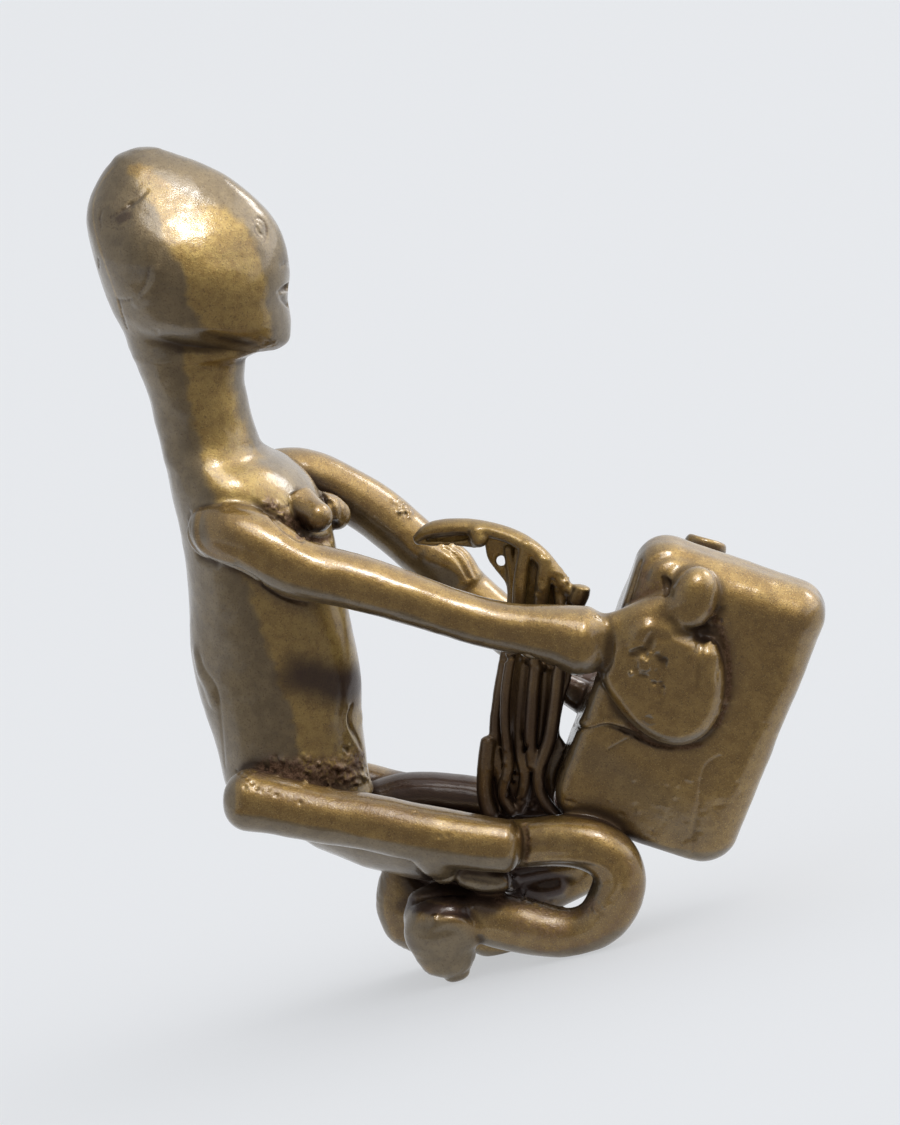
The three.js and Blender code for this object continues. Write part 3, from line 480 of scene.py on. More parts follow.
FORMS = [  # name, field, blend radius with what is already there (mm); None: filling shared by its neighbours
    ("head", slices_field(HEAD, top=0.16, bottom=0.3, swell=HEAD_SWELL), 0.0),
    ("body", body, 0.7),
    (None, roll_field(st((204, 410, 0, 40, 1.15), (186, 370, 0, 41, 1.2), (166, 325, 0, 40, 1.25), (152, 288, 0, 34, 1.3), (143, 262, 0, 24, 1.4)),
                      caps=(0.8, 0.8)), 0.6),
    ("arm_right", roll_field(ARM_RIGHT, caps=(0.8, 0.85)), 0.55),
    ("arm_left", joined([roll_field(ARM_LEFT, caps=(0.8, 0.6)), roll_field(st((434, 556, 6.9, 22), (452, 566, 6.6, 22), (466, 580, 6.3, 17)))], 0.4), 0.6),
    ("breast_right", roll_field(BREAST_RIGHT, caps=(0.2, 0.95)), 0.25),
    ("breast_left", roll_field(BREAST_LEFT, caps=(0.2, 0.9)), 0.25),
    ("navel", roll_field(NAVEL, caps=(0.2, 0.4)), 0.3),
    ("sound_box", box_field(), 0.3),
    ("hand_right", joined([pad_field(HAND_OUTLINE, FACE_POINT, NEAR_FACE, 1.9, 1.3, 0.5),
                           roll_field(st((590, 644, -5.0, 27), (616, 642, -4.9, 21), (640, 645, -4.6, 22)))], 0.8), 0.6),
    ("thumb_right", joined([ball_field(THUMB_RIGHT_CENTRE, (1.95, 2.7, 1.9)),
                            roll_field(st((602, 632, -5.4, 17), (624, 623, -5.3, 15), (648, 613, -5.2, 15), (672, 606, -5.0, 16)))], 0.5), 0.7),
    ("hand_left", ball_field(HAND_LEFT_CENTRE, (4.3, 4.8, 1.9)), 0.55),
    (None, roll_field(st((594, 697, 5.0, 20), (612, 689, 5.1, 17), (634, 676, 5.0, 17), (652, 666, 4.9, 15))), 0.8),
    ("thumb_left", cut_by(ball_field(THUMB_LEFT_CENTRE, (1.75, 1.9, 1.4)), at_y(703, 537, 3.7), CAM_X * 0.29 + CAM_Y * 0.957), 0.5),
    (None, roll_field(st((702, 562, 3.8, 15), (694, 590, 4.0, 14), (684, 620, 4.3, 17))), 0.7),
    ("seat_rim_right", roll_field(RIM_RIGHT, caps=(0.9, 0.6)), 0.35),
    ("seat_rim_left", roll_field(RIM_LEFT, caps=(0.95, 0.6)), 0.35),
    ("seat_plate", plate_field(), 0.6),
    ("leg_right", roll_field(LEG_RIGHT), 0.45),
    ("leg_left", roll_field(LEG_LEFT), 0.3),
    ("foot_right", roll_field(FOOT_RIGHT, caps=(0.7, 0.7)), 0.35),
    ("foot_left", roll_field(FOOT_LEFT, caps=(0.7, 0.7)), 0.35),
    ("seat_stub", roll_field(SEAT_STUB), 0.8),
    (None, roll_field(st((466, 876, -4.7, 12), (484, 880, -4.3, 13), (502, 880, -3.9, 12.5))), 0.5),
    (None, roll_field(st((524, 882, 1.6, 12), (545, 886, 1.8, 13), (558, 884, 2.0, 12))), 0.4),
    (None, roll_field(st((505, 874, 0.4, 14), (530, 868, 1.2, 14), (556, 866, 1.8, 12), (574, 866, 2.2, 10))), 0.5),
    (None, roll_field(st((245, 791, -5.9, 23), (257, 801, -6.0, 27))), 0.4),
    ("harp_neck", joined([roll_field(HARP_NECK), roll_field(LIP), roll_field(LUMP),
                          pad_field(HOOK_BACK, np.array([0, 0.75, 0]), SIDE, 0.3, 0.2, 0, 0.3)], 0.25), 0.3),
    ("neck_stub", roll_field(NECK_STUB, caps=(0.35, 0.25)), 0.25),
    ("neck_web", pad_field(WEB, np.array([0, 0.7, 0]), SIDE, 0.3, 0.2, 0, 0.3, WEB_HOLE), 0.3),
    ("string_1", roll_field(STRING_1), 0.22), ("string_2", roll_field(STRING_2), 0.22),
    ("string_3", roll_field(STRING_3), 0.22), ("string_4", roll_field(STRING_4), 0.22),
    ("string_5", roll_field(STRING_5), 0.22), ("string_6", roll_field(STRING_6), 0.22),
    ("string_7", roll_field(STRING_7), 0.22), ("string_heel", roll_field(STRING_HEEL), 0.25),
    (None, roll_field(st((560, 682, 1.6, 12), (575, 692, 2.2, 16), (592, 702, 3.0, 16))), 0.4),
    (None, pad_field(FAN, np.array([0, 0.4, 0]), SIDE, 0.25, 0.2, 0, 0.25), 0.2),
]


def smin(a, b, k):
    if k <= 0:
        return np.minimum(a, b)
    h = np.maximum(k - np.abs(a - b), 0) / k
    return np.minimum(a, b) - h * h * k * 0.25


FAR = 3.0
F = np.full(DIM, FAR, np.float32)        # the whole casting
D1 = np.full(DIM, FAR, np.float32)       # nearest element
D2 = np.full(DIM, FAR, np.float32)       # second nearest
ID = np.full(DIM, -1, np.int8)
NAMES, CELLS, OWN = [], [], []


def claim(name, sl, d):
    i = len(NAMES)
    NAMES.append(name); CELLS.append(sl); OWN.append(d)
    m = d < D1[sl]
    D2[sl] = np.where(m, D1[sl], np.minimum(D2[sl], d))
    ID[sl] = np.where(m, i, ID[sl])
    D1[sl] = np.where(m, d, D1[sl])


for name, (field, lo, hi), k in FORMS:
    sl = window(lo, hi)
    q = coords(sl)
    d = field(q).reshape(shape_of(sl))
    F[sl] = smin(F[sl], d, k)
    if name is None:
        continue
    if name == "body":
        s = ((SPLIT_Z - q[:, 2]) - 0.21 * (q[:, 0] + 15.9)).reshape(shape_of(sl))
        claim("neck", sl, np.maximum(d, s))
        claim("torso", sl, np.maximum(d, -s))
    else:
        claim(name, sl, d)
    del q, d


# ------------------------------------------------------------------ sculpting on the casting
def sample(arr, p):
    """Trilinear value of a whole-grid array at points p (n, 3) in mm."""
    g = (np.asarray(p, float) - GLO) / STEP
    g = np.clip(g, 0, DIM - 1.001)
    i = g.astype(int); t = g - i
    x, y, z = i.T; u, v, w = t.T
    r = 0
    for dx, wx in ((0, 1 - u), (1, u)):
        for dy, wy in ((0, 1 - v), (1, v)):
            for dz, wz in ((0, 1 - w), (1, w)):
                r = r + arr[x + dx, y + dy, z + dz] * (wx * wy * wz)
    return r


def slope_at(arr, p):
    e = STEP * 0.8
    g = np.stack([sample(arr, p + np.eye(3)[k] * e) - sample(arr, p - np.eye(3)[k] * e) for k in range(3)], 1)
    return unit(g)


def on_surface(pts):
    """Points where the camera's rays through these pixels first meet the casting, with outward normals."""
    d = np.array([ray(px, py) for px, py in pts])
    s = DIST - 34 + np.arange(0, 68, 0.06)
    p = CAM + d[:, None, :] * s[None, :, None]
    v = sample(F, p.reshape(-1, 3)).reshape(len(pts), len(s))
    hit = v < 0
    k = np.where(hit.any(1), hit.argmax(1), v.argmin(1))
    k = np.maximum(k, 1)
    r = np.arange(len(pts))
    v0, v1 = v[r, k - 1], v[r, k]
    w = np.clip(v0 / np.where(np.abs(v0 - v1) < 1e-6, 1e-6, v0 - v1), 0, 1)
    out = p[r, k - 1] + (p[r, k] - p[r, k - 1]) * w[:, None]
    return out, slope_at(F, out)


def path(px, vals=(), step=3.0):
    """Smooth pixel path through the points with values (radius, depth...) carried along."""
    px = np.array(px, float)
    vals = [np.broadcast_to(np.asarray(v, float), (len(px),)) for v in vals]
    if len(px) == 1:
        return px, [np.array(v) for v in vals]
    rows = np.c_[px, np.zeros(len(px)), np.stack(vals, 1)] if vals else np.c_[px, np.zeros(len(px))]
    c = cubic(rows, step) if len(px) > 2 else dense(rows, step=step)
    return c[:, :2], [c[:, 3 + i] for i in range(len(vals))]


def dense(pts, step=0.12):
    pts = np.asarray(pts, float)
    if len(pts) == 1:
        return pts
    seg = np.linalg.norm(np.diff(pts[:, :3], axis=0), axis=1)
    s = np.r_[0, np.cumsum(seg)]
    t = np.linspace(0, s[-1], max(2, int(s[-1] / step)))
    return np.stack([np.interp(t, s, pts[:, k]) for k in range(pts.shape[1])], 1)


def tool(points, radii, mode, k=0.15):
    """Pushes (mode -1) or adds (mode +1) a bead of the given radii along the points."""
    pr = dense(np.c_[points, radii])
    reach = pr[:, 3].max() + k + 3 * STEP
    sl = window(pr[:, :3].min(0) - reach, pr[:, :3].max(0) + reach)
    g = [AX[c][sl[c]] for c in range(3)]
    best = np.full(shape_of(sl), 9.0, np.float32)
    n = int(np.ceil(reach / STEP))
    for c in pr:
        w = []
        for ax in range(3):
            j = int(np.searchsorted(g[ax], c[ax]))
            w.append(slice(max(0, j - n), j + n + 1))
        d = np.sqrt((g[0][w[0]] - c[0])[:, None, None] ** 2 + (g[1][w[1]] - c[1])[None, :, None] ** 2
                    + (g[2][w[2]] - c[2])[None, None, :] ** 2) - c[3]
        sub = best[w[0], w[1], w[2]]
        np.minimum(sub, d, out=sub)
    if mode > 0:
        F[sl] = smin(F[sl], best, k)
    else:
        F[sl] = -smin(-F[sl], best, k)


MARKS = {"dark": [], "dirt_and_shade": [], "rub": [], "grey": []}


def groove(px, r, depth, k=0.12):
    """A groove of radius r and depth, mm, along pixels of the camera's view, on the visible surface."""
    q, (r, depth) = path(px, (r, depth))
    p, n = on_surface(q)
    tool(p + n * (r - depth)[:, None], r, -1, k)


def crack(px, r, depth, k=0.06):
    """A thin groove with dirt in it."""
    groove(px, r, depth, k)
    dab("dark", px, 1.15 * (max(r) if isinstance(r, tuple) else r), 0.62, 0.7)


def ridge(px, r, height, k=0.15):
    q, (r, height) = path(px, (r, height))
    p, n = on_surface(q)
    tool(p - n * (r - height)[:, None], r, +1, k)


# ---- marks of tools, cracks, pits, wax left at the joints
def dab(kind, px, r, amount=1.0, soft=0.5):
    """Colours the visible surface within r mm of the pixel path."""
    q, _ = path(px)
    MARKS[kind].append((on_surface(q)[0], r, amount, soft))


def dab_at(kind, centre, r, amount=1.0, soft=0.5):
    MARKS[kind].append((np.array([centre], float), r, amount, soft))


def scatter(px, py, rx, ry, n, r, seed, turn=0.0, up=0.5, length=0.0):
    """n small crumbs (share `up`) and pits in an ellipse of the view, a few of them drawn out into short wrinkles."""
    rng = np.random.default_rng(seed)
    a, rad = rng.uniform(0, 2 * math.pi, n), np.sqrt(rng.uniform(0, 1, n))
    x, y = rx * rad * np.cos(a), ry * rad * np.sin(a)
    c, s = math.cos(math.radians(turn)), math.sin(math.radians(turn))
    pts = np.stack([px + x * c - y * s, py + x * s + y * c], 1)
    for i, p in enumerate(pts):
        ri = r * rng.uniform(0.6, 1.3)
        da = rng.uniform(0, math.pi)
        step = length * rng.uniform(0, 1) * np.array([math.cos(da), math.sin(da)])
        line = [tuple(p - step / 2), tuple(p + step / 2)] if length else [tuple(p)]
        if rng.uniform() < up:
            ridge(line, ri, ri * rng.uniform(0.5, 0.9), 0.08)
        else:
            groove(line, ri, ri * rng.uniform(0.4, 0.8), 0.08)


# head
groove([(212, 337), (224, 341), (238, 344), (254, 347)], (0.7, 0.8, 0.8, 0.7), (0.08, 0.16, 0.16, 0.06), 0.5)
# painted shadow under the jaw
dab("dark", [(222, 338), (236, 341), (250, 343)], 0.75, 0.7, 0.9)
crack([(149, 268), (148, 280), (141, 292), (132, 299), (119, 300)], 0.17, (0.05, 0.14, 0.17, 0.14, 0.1))
ridge([(155, 272), (154, 282), (147, 294), (137, 303)], 0.6, 0.06, 0.3)
crack([(119, 300), (122, 313), (127, 328)], 0.14, 0.1)
crack([(102, 211), (100, 219), (101, 227)], 0.12, 0.08)
crack([(111, 217), (122, 211), (131, 204)], (0.08, 0.12, 0.15), (0.05, 0.1, 0.12))
groove([(131, 204), (139, 198), (147, 190)], (0.15, 0.12, 0.1), (0.12, 0.08, 0.05))
crack([(111, 218), (112, 226), (121, 229), (128, 222), (131, 208)], 0.09, 0.05)
crack([(98, 260), (98, 267)], 0.16, 0.12)
groove([(157, 330), (157, 334)], 0.14, 0.1)
# small incised oval eye, nick of the nose, slit of the mouth
groove([(257, 223), (260, 224), (262, 230), (262, 235), (259, 233), (257, 227)], 0.2, 0.1, 0.1)
crack([(253, 222), (257, 218), (262, 220), (266, 227), (266, 235), (264, 241)], 0.14, (0.05, 0.11, 0.12, 0.12, 0.12, 0.06))
crack([(254, 224), (255, 232), (260, 238)], 0.1, 0.06)
ridge([(258, 225), (261, 231)], 0.16, 0.09, 0.08)
groove([(281, 266), (287, 264), (291, 266)], 0.12, 0.1)
groove([(277, 293), (283, 290), (290, 287)], (0.14, 0.26, 0.34), (0.08, 0.28, 0.4), 0.1)
groove([(280, 296), (285, 301), (289, 305)], (0.2, 0.22, 0.2), (0.1, 0.2, 0.2), 0.15)
scatter(274, 343, 8, 3, 7, 0.14, 5)
# chest and shoulder
groove([(219, 506), (206, 506), (195, 511)], 0.25, (0.06, 0.14, 0.16))
groove([(190, 514), (188, 527), (191, 542), (200, 554), (217, 561), (240, 569), (262, 583), (285, 597), (305, 602)], 0.22, 0.14)
ridge([(197, 513), (195, 528), (199, 545), (212, 556), (232, 563)], 0.4, (0.05, 0.12, 0.14, 0.12, 0.05), 0.25)
groove([(199, 556), (205, 559), (214, 562)], 0.5, 0.2, 0.3)
groove([(255, 503), (268, 513), (284, 529), (300, 540)], 0.3, (0.05, 0.16, 0.22, 0.2), 0.2)
scatter(279, 511, 17, 9, 34, 0.15, 11, 35, 0.55, 5)
groove([(296, 522), (299, 533), (308, 539), (320, 541), (332, 538)], 0.35, (0.15, 0.3, 0.32, 0.3, 0.2), 0.15)
groove([(331, 503), (334, 514), (335, 526)], 0.28, 0.3, 0.12)
groove([(341, 503), (342, 509), (341, 516)], 0.14, 0.1)
# belly: crease down the back edge, pad and its rim at the front
groove([(200, 654), (206, 671), (214, 682), (219, 701), (222, 731), (225, 766)], 0.16, (0.03, 0.09, 0.1, 0.08, 0.06, 0.04))
ridge([(196, 655), (201, 672), (208, 686), (213, 703)], 0.7, (0.04, 0.12, 0.12, 0.04), 0.4)
groove([(352, 705), (349, 714), (351, 727), (358, 739), (363, 752), (365, 763)], 0.2, (0.12, 0.2, 0.2, 0.16, 0.12, 0.08))
ridge([(348, 708), (345, 717), (347, 730), (354, 742), (360, 755)], 0.24, 0.1, 0.15)
# crust where the body meets the seat
scatter(316, 772, 54, 14, 120, 0.15, 21, 9, 0.72, 7)
scatter(352, 768, 15, 20, 64, 0.16, 22, 0, 0.72, 7)
ridge([(278, 776), (284, 773), (291, 778), (299, 776), (305, 782)], 0.2, 0.14, 0.08)
# seat: pits at the rim's end, a few along it
for i, (x, y) in enumerate(((236, 771), (240, 773), (244, 776), (248, 779), (252, 783), (257, 788), (262, 791), (268, 790), (276, 795),
                            (249, 772), (245, 787), (439, 837), (448, 836), (415, 812), (300, 803))):
    groove([(x, y)], 0.13 + 0.03 * (i % 3), 0.13, 0.06)
groove([(462, 876), (478, 879), (498, 882)], 0.15, 0.08)
groove([(525, 824), (527, 838), (527, 852), (524, 864)], 0.16, 0.12)
scatter(527, 845, 3, 20, 16, 0.1, 31, 0, 0.5)
scatter(514, 874, 6, 6, 10, 0.16, 32, 0, 0.7)
# inner edge of the bent leg, crumbs in the bend
ridge([(524, 862), (545, 860), (575, 860), (598, 863), (610, 870), (616, 882), (611, 894), (602, 903)], 0.35, (0.03, 0.1, 0.12, 0.12, 0.12, 0.12, 0.1, 0.05), 0.2)
scatter(545, 904, 26, 5, 22, 0.13, 33, 15, 0.7, 5)
scatter(600, 911, 13, 5, 12, 0.13, 34, -25, 0.7, 5)
# foot
ridge([(434, 925), (445, 921), (456, 921), (467, 925), (479, 931)], 0.5, (0.08, 0.2, 0.24, 0.2, 0.08), 0.35)
groove([(475, 963), (473, 976)], 0.28, 0.28, 0.12)
scatter(432, 918, 10, 4, 12, 0.12, 35, 10, 0.7, 4)
# arm: lap of wax on its underside, end of the wrist
groove([(497, 660), (511, 658), (524, 655), (534, 658), (546, 665), (560, 667)], 0.2, (0.05, 0.16, 0.18, 0.18, 0.16, 0.06))
ridge([(524, 660), (535, 664), (548, 669)], 0.3, 0.14, 0.15)
groove([(603, 613), (609, 628), (611, 646), (608, 664), (597, 677)], 0.3, (0.05, 0.08, 0.1, 0.12, 0.1), 0.25)
scatter(590, 618, 10, 3, 9, 0.08, 41)
# hand: bumps, soft valleys between the fingers, nicks
ridge([(641, 634), (646, 631)], 0.8, 0.28, 0.4)
ridge([(634, 646)], 0.6, 0.22, 0.3)
ridge([(644, 664)], 0.75, 0.34, 0.35)
ridge([(655, 652), (660, 646)], 0.7, 0.2, 0.3)
groove([(652, 636), (650, 648), (655, 658)], 0.45, 0.22, 0.25)
groove([(632, 655), (637, 652), (644, 651)], 0.35, 0.2, 0.2)
groove([(664, 640), (662, 655), (663, 675), (660, 692)], 0.5, 0.16, 0.3)
groove([(652, 682), (655, 684)], 0.2, 0.16, 0.08)
groove([(661, 683), (663, 687)], 0.18, 0.16, 0.08)
groove([(642, 675), (647, 677)], 0.18, 0.14, 0.08)
groove([(703, 640), (700, 652), (699, 668), (697, 688)], (0.5, 0.5, 0.45, 0.3), (0.26, 0.26, 0.2, 0.1), 0.25)
ridge([(712, 646), (714, 654)], 0.9, 0.28, 0.4)
groove([(686, 692), (690, 686), (692, 683)], 0.14, 0.12, 0.06)
groove([(690, 690), (693, 692)], 0.12, 0.1, 0.06)
ridge([(643, 717), (648, 713), (655, 716), (656, 721), (649, 723), (643, 717)], 0.13, 0.08, 0.06)
groove([(647, 718), (652, 719)], 0.16, 0.12, 0.06)
groove([(722, 668), (717, 674), (718, 682)], 0.12, 0.1, 0.06)
scatter(648, 668, 20, 18, 30, 0.2, 42, 0, 0.4, 3)
groove([(664, 578), (667, 585), (666, 593)], (0.25, 0.34, 0.3), (0.25, 0.4, 0.3), 0.15)
groove([(645, 577), (649, 567), (659, 559), (674, 555), (690, 558)], 0.5, (0.04, 0.1, 0.12, 0.1, 0.04), 0.3)
groove([(676, 635), (688, 637), (700, 634)], 0.5, 0.12, 0.3)
scatter(718, 625, 9, 22, 40, 0.12, 43, 8, 0.5, 5)
scatter(722, 706, 7, 20, 22, 0.12, 44, 10, 0.6, 5)
# box: laps of wax, scratches, ticks
groove([(574, 725), (588, 729), (603, 725), (618, 728), (634, 735), (652, 744), (672, 748)], 0.2, (0.1, 0.2, 0.2, 0.24, 0.24, 0.2, 0.1))
ridge([(578, 721), (590, 724), (604, 720), (620, 722)], 0.4, 0.14, 0.25)
groove([(605, 752), (618, 745), (632, 737)], 0.13, (0.08, 0.14, 0.1), 0.05)
groove([(562, 754), (563, 767)], 0.14, 0.1, 0.08)
groove([(566, 801), (574, 803)], 0.14, 0.1, 0.08)
groove([(720, 757), (709, 764), (703, 775), (700, 797), (696, 820), (693, 838)], 0.22, 0.11, 0.12)
groove([(641, 562), (635, 580), (629, 600)], 0.25, 0.15, 0.15)
groove([(762, 669), (766, 677), (764, 684)], 0.13, 0.1, 0.05)
groove([(754, 640), (760, 652)], 0.1, 0.05, 0.05)
groove([(738, 782), (742, 790), (737, 797)], 0.13, 0.1, 0.05)
groove([(654, 787), (668, 786)], 0.09, 0.05, 0.05)
groove([(688, 836), (691, 847), (690, 856)], 0.12, 0.08, 0.06)
scatter(665, 800, 60, 40, 34, 0.12, 51, 20, 0.3, 6)
scatter(750, 690, 34, 70, 22, 0.12, 52, 20, 0.2, 5)
# far arm: folds at the elbow, rough top
groove([(441, 546), (452, 553), (462, 566), (468, 578)], 0.22, 0.16)
groove([(452, 545), (463, 552), (471, 565), (475, 575)], 0.2, 0.14)
scatter(402, 508, 12, 6, 26, 0.16, 61, 40, 0.6, 4)
# threads: small nicks where they were pressed on
scatter(517, 775, 30, 34, 44, 0.14, 71, 0, 0.6, 6)
scatter(560, 580, 12, 10, 20, 0.14, 72, 40, 0.6, 4)
scatter(536, 590, 12, 12, 12, 0.12, 73, 0, 0.5, 5)

# ---- places of dirt, dark stain and rubbed metal, and of painted shade and painted reflection
# painted shade: a dark band across the belly below the near arm
dab("dark", [(300, 676), (320, 682), (342, 686), (362, 684)], 2.7, 1.0, 0.85)
dab("dark", [(120, 219), (126, 216)], 0.6, 0.7, 0.6)
dab("dirt_and_shade", [(262, 772), (290, 772), (320, 772), (350, 770), (362, 757)], 1.75, 0.95, 0.8)
dab("dirt_and_shade", [(270, 503), (282, 513), (292, 524)], 0.8, 0.8, 0.7)
dab("dirt_and_shade", [(262, 790), (300, 797), (340, 803), (385, 811), (430, 818)], 0.9, 0.4, 0.9)
dab("dirt_and_shade", [(300, 537), (318, 541), (330, 537)], 0.5, 0.9, 0.6)
# painted shade on the top of the near foot, under the seat
dab("dark", [(403, 905), (430, 897), (460, 900), (490, 906)], 1.3, 0.8, 0.7)
dab("dirt_and_shade", [(500, 900), (530, 908), (560, 915), (590, 905)], 1.0, 0.6, 0.8)
dab("dirt_and_shade", [(545, 935), (560, 930), (520, 928)], 1.2, 0.5, 0.9)
# painted reflection of the pale floor: the near foot's lower face made grey
dab("grey", [(425, 945), (445, 948), (455, 962)], 2.5, 1.0, 0.3)
# painted shade along the top of the near foot, above its ridge
dab("dark", [(408, 903), (425, 908), (445, 910), (466, 914)], 0.9, 1.0, 0.6)
# painted shade inside the bent leg's loop, on the far leg and the fillings there
dab("dark", [(520, 872), (540, 876), (556, 886)], 1.5, 1.0, 0.5)
dab("dark", [(508, 874), (514, 884)], 0.8, 1.0, 0.6)
dab("rub", [(112, 168), (100, 185), (94, 205), (96, 235), (104, 262), (114, 290), (122, 316)], 0.28, 0.8, 0.9)
dab("dirt_and_shade", [(710, 610), (722, 630), (728, 660), (726, 700), (716, 725)], 0.5, 0.7, 0.8)
dab("dirt_and_shade", [(645, 565), (640, 590), (634, 600), (655, 585)], 0.7, 0.6, 0.8)
dab("dirt_and_shade", [(630, 725), (650, 742), (672, 748), (700, 745)], 0.4, 0.7, 0.8)
dab("dirt_and_shade", [(525, 824), (528, 840), (526, 862)], 0.3, 0.7, 0.8)
# painted shade under the seat, down the left edge of the near foot
dab("dark", [(386, 884), (390, 904), (398, 924), (408, 942)], 1.6, 0.5, 1.4)
# painted shade: more of the dark band below the near arm
dab("dark", [(322, 684), (342, 690), (360, 696)], 0.9, 0.45, 1.3)
# painted shade, put in the dirt marks, along the outer lower edge of the bent near leg and along the box's lower edge
dab("dirt_and_shade", [(631, 862), (635, 884), (624, 912), (604, 934), (575, 947), (540, 950)], 0.9, 0.42, 1.0)
dab("dirt_and_shade", [(600, 828), (690, 868), (716, 876), (740, 850)], 1.0, 0.35, 1.0)
dab("grey", [(590, 760), (620, 780), (650, 800), (690, 830)], 2.6, 0.35, 0.9)
# painted shade deep in the lap: far leg and seat, far foot, the far arm's end and the threads
dab_at("dark", (-7.0, 3.5, -18.5), 6.5, 1.0, 0.5)
dab_at("dark", (0.5, 3.5, -21.0), 5.5, 0.9, 0.5)
dab_at("dark", (-2.0, 3.0, -26.0), 5.5, 0.9, 0.5)
dab_at("dark", (7.5, 4.5, -13.0), 4.0, 0.9, 0.5)
dab_at("dark", (2.5, 0.6, -13.5), 4.5, 0.6, 0.6)
dab_at("dark", (-9.0, 2.5, -27.0), 4.0, 0.7, 0.5)


def mark(kind, p):
    out = np.zeros(len(p))
    wob = None
    for c, r, amount, soft in MARKS[kind]:
        lo, hi = c.min(0) - r * 1.4, c.max(0) + r * 1.4
        m = np.where(((p > lo) & (p < hi)).all(1))[0]
        if len(m) == 0:
            continue
        q = p[m]
        d = np.full(len(q), 1e9)
        for v in c:
            d = np.minimum(d, np.linalg.norm(q - v, axis=1))
        d = d + 0.16 * min(r, 2.0) * lattice(q, max(0.5, 0.6 * r), 7)
        x = np.clip((r - d) / (soft * r), 0, 1)
        out[m] = np.maximum(out[m], amount * x * x * (3 - 2 * x))
    return out


# soles and lower legs are rubbed flat where the figure stands
zz = AX[2][None, None, :]
low = window((-23, -10, FLOOR - 1.3), (28, 11, FLOOR + 1.5))
F[low] = -smin(-F[low], -(FLOOR - zz[:, :, low[2]]) * np.ones_like(F[low]), 0.12)


# ------------------------------------------------------------------ one closed mesh for each element
def dip(x):
    return 1.5 * x * x / (x + 0.4)


CORNERS = [(i, j, k) for i in (0, 1) for j in (0, 1) for k in (0, 1)]
EDGES = [(a, b) for a in range(8) for b in range(a + 1, 8)
         if sum(abs(CORNERS[a][c] - CORNERS[b][c]) for c in range(3)) == 1]


def nets(f):
    """Surface net of a block: points in voxel units and quads, outward."""
    s = f < 0
    nx, ny, nz = f.shape
    cnt = np.zeros((nx - 1, ny - 1, nz - 1), np.int8)
    for i, j, k in CORNERS:
        cnt += s[i:nx - 1 + i, j:ny - 1 + j, k:nz - 1 + k]
    act = (cnt > 0) & (cnt < 8)
    cell = np.argwhere(act)
    ids = np.full(act.shape, -1, np.int32)
    ids[act] = np.arange(len(cell))
    vals = [f[cell[:, 0] + i, cell[:, 1] + j, cell[:, 2] + k] for i, j, k in CORNERS]
    pos = np.zeros((len(cell), 3)); num = np.zeros(len(cell))
    for a, b in EDGES:
        va, vb = vals[a], vals[b]
        m = (va < 0) != (vb < 0)
        t = np.where(m, va / np.where(m, va - vb, 1), 0)
        pa, pb = np.array(CORNERS[a], float), np.array(CORNERS[b], float)
        pos += np.where(m[:, None], pa + t[:, None] * (pb - pa), 0)
        num += m
    pos = cell + pos / num[:, None]
    quads = []
    for ax in range(3):
        u, v = [(1, 2), (2, 0), (0, 1)][ax]
        sl0 = [slice(None)] * 3; sl1 = [slice(None)] * 3
        sl0[ax] = slice(0, f.shape[ax] - 1); sl1[ax] = slice(1, f.shape[ax])
        a, b = s[tuple(sl0)], s[tuple(sl1)]
        e = np.argwhere(a != b)
        e = e[(e[:, u] > 0) & (e[:, v] > 0) & (e[:, u] < f.shape[u] - 1) & (e[:, v] < f.shape[v] - 1)]
        out = a[e[:, 0], e[:, 1], e[:, 2]]           # inside at the low end: normal along +ax
        du = np.zeros(3, int); du[u] = 1
        dv = np.zeros(3, int); dv[v] = 1
        c = [e - du - dv, e - dv, e, e - du]
        qd = np.stack([ids[x[:, 0], x[:, 1], x[:, 2]] for x in c], 1)
        qd = np.where(out[:, None], qd, qd[:, ::-1])
        quads.append(qd)
    return pos, np.concatenate(quads)


def keep_largest(v, q):
    e = np.concatenate([q[:, [0, 1]], q[:, [1, 2]], q[:, [2, 3]]])
    lab = np.arange(len(v))
    while True:
        m = np.minimum(lab[e[:, 0]], lab[e[:, 1]])
        new = lab.copy()
        np.minimum.at(new, e[:, 0], m); np.minimum.at(new, e[:, 1], m)
        new = new[new]
        if (new == lab).all():
            break
        lab = new
    best = np.bincount(lab).argmax()
    keep = lab == best
    idx = np.cumsum(keep) - 1
    q = q[keep[q[:, 0]]]
    return v[keep], idx[q]


def relax(v, q, amount=0.5):
    e = np.concatenate([q[:, [0, 1]], q[:, [1, 2]], q[:, [2, 3]], q[:, [3, 0]]])
    acc = np.zeros_like(v); n = np.zeros(len(v))
    for c in range(3):
        acc[:, c] = np.bincount(e[:, 0], v[e[:, 1], c], len(v)) + np.bincount(e[:, 1], v[e[:, 0], c], len(v))
    n = np.bincount(e[:, 0], minlength=len(v)) + np.bincount(e[:, 1], minlength=len(v))
    return v + amount * (acc / n[:, None] - v)


def blur(a, r):
    """Three box blurs of half width r voxels along each axis."""
    for _ in range(3):
        for ax in range(3):
            c = np.cumsum(np.pad(a, [(r + 1, r) if k == ax else (0, 0) for k in range(3)], mode="edge"), axis=ax, dtype=np.float64)
            hi = np.take(c, np.arange(2 * r + 1, c.shape[ax]), axis=ax)
            lo = np.take(c, np.arange(0, c.shape[ax] - 2 * r - 1), axis=ax)
            a = ((hi - lo) / (2 * r + 1)).astype(np.float32)
    return a


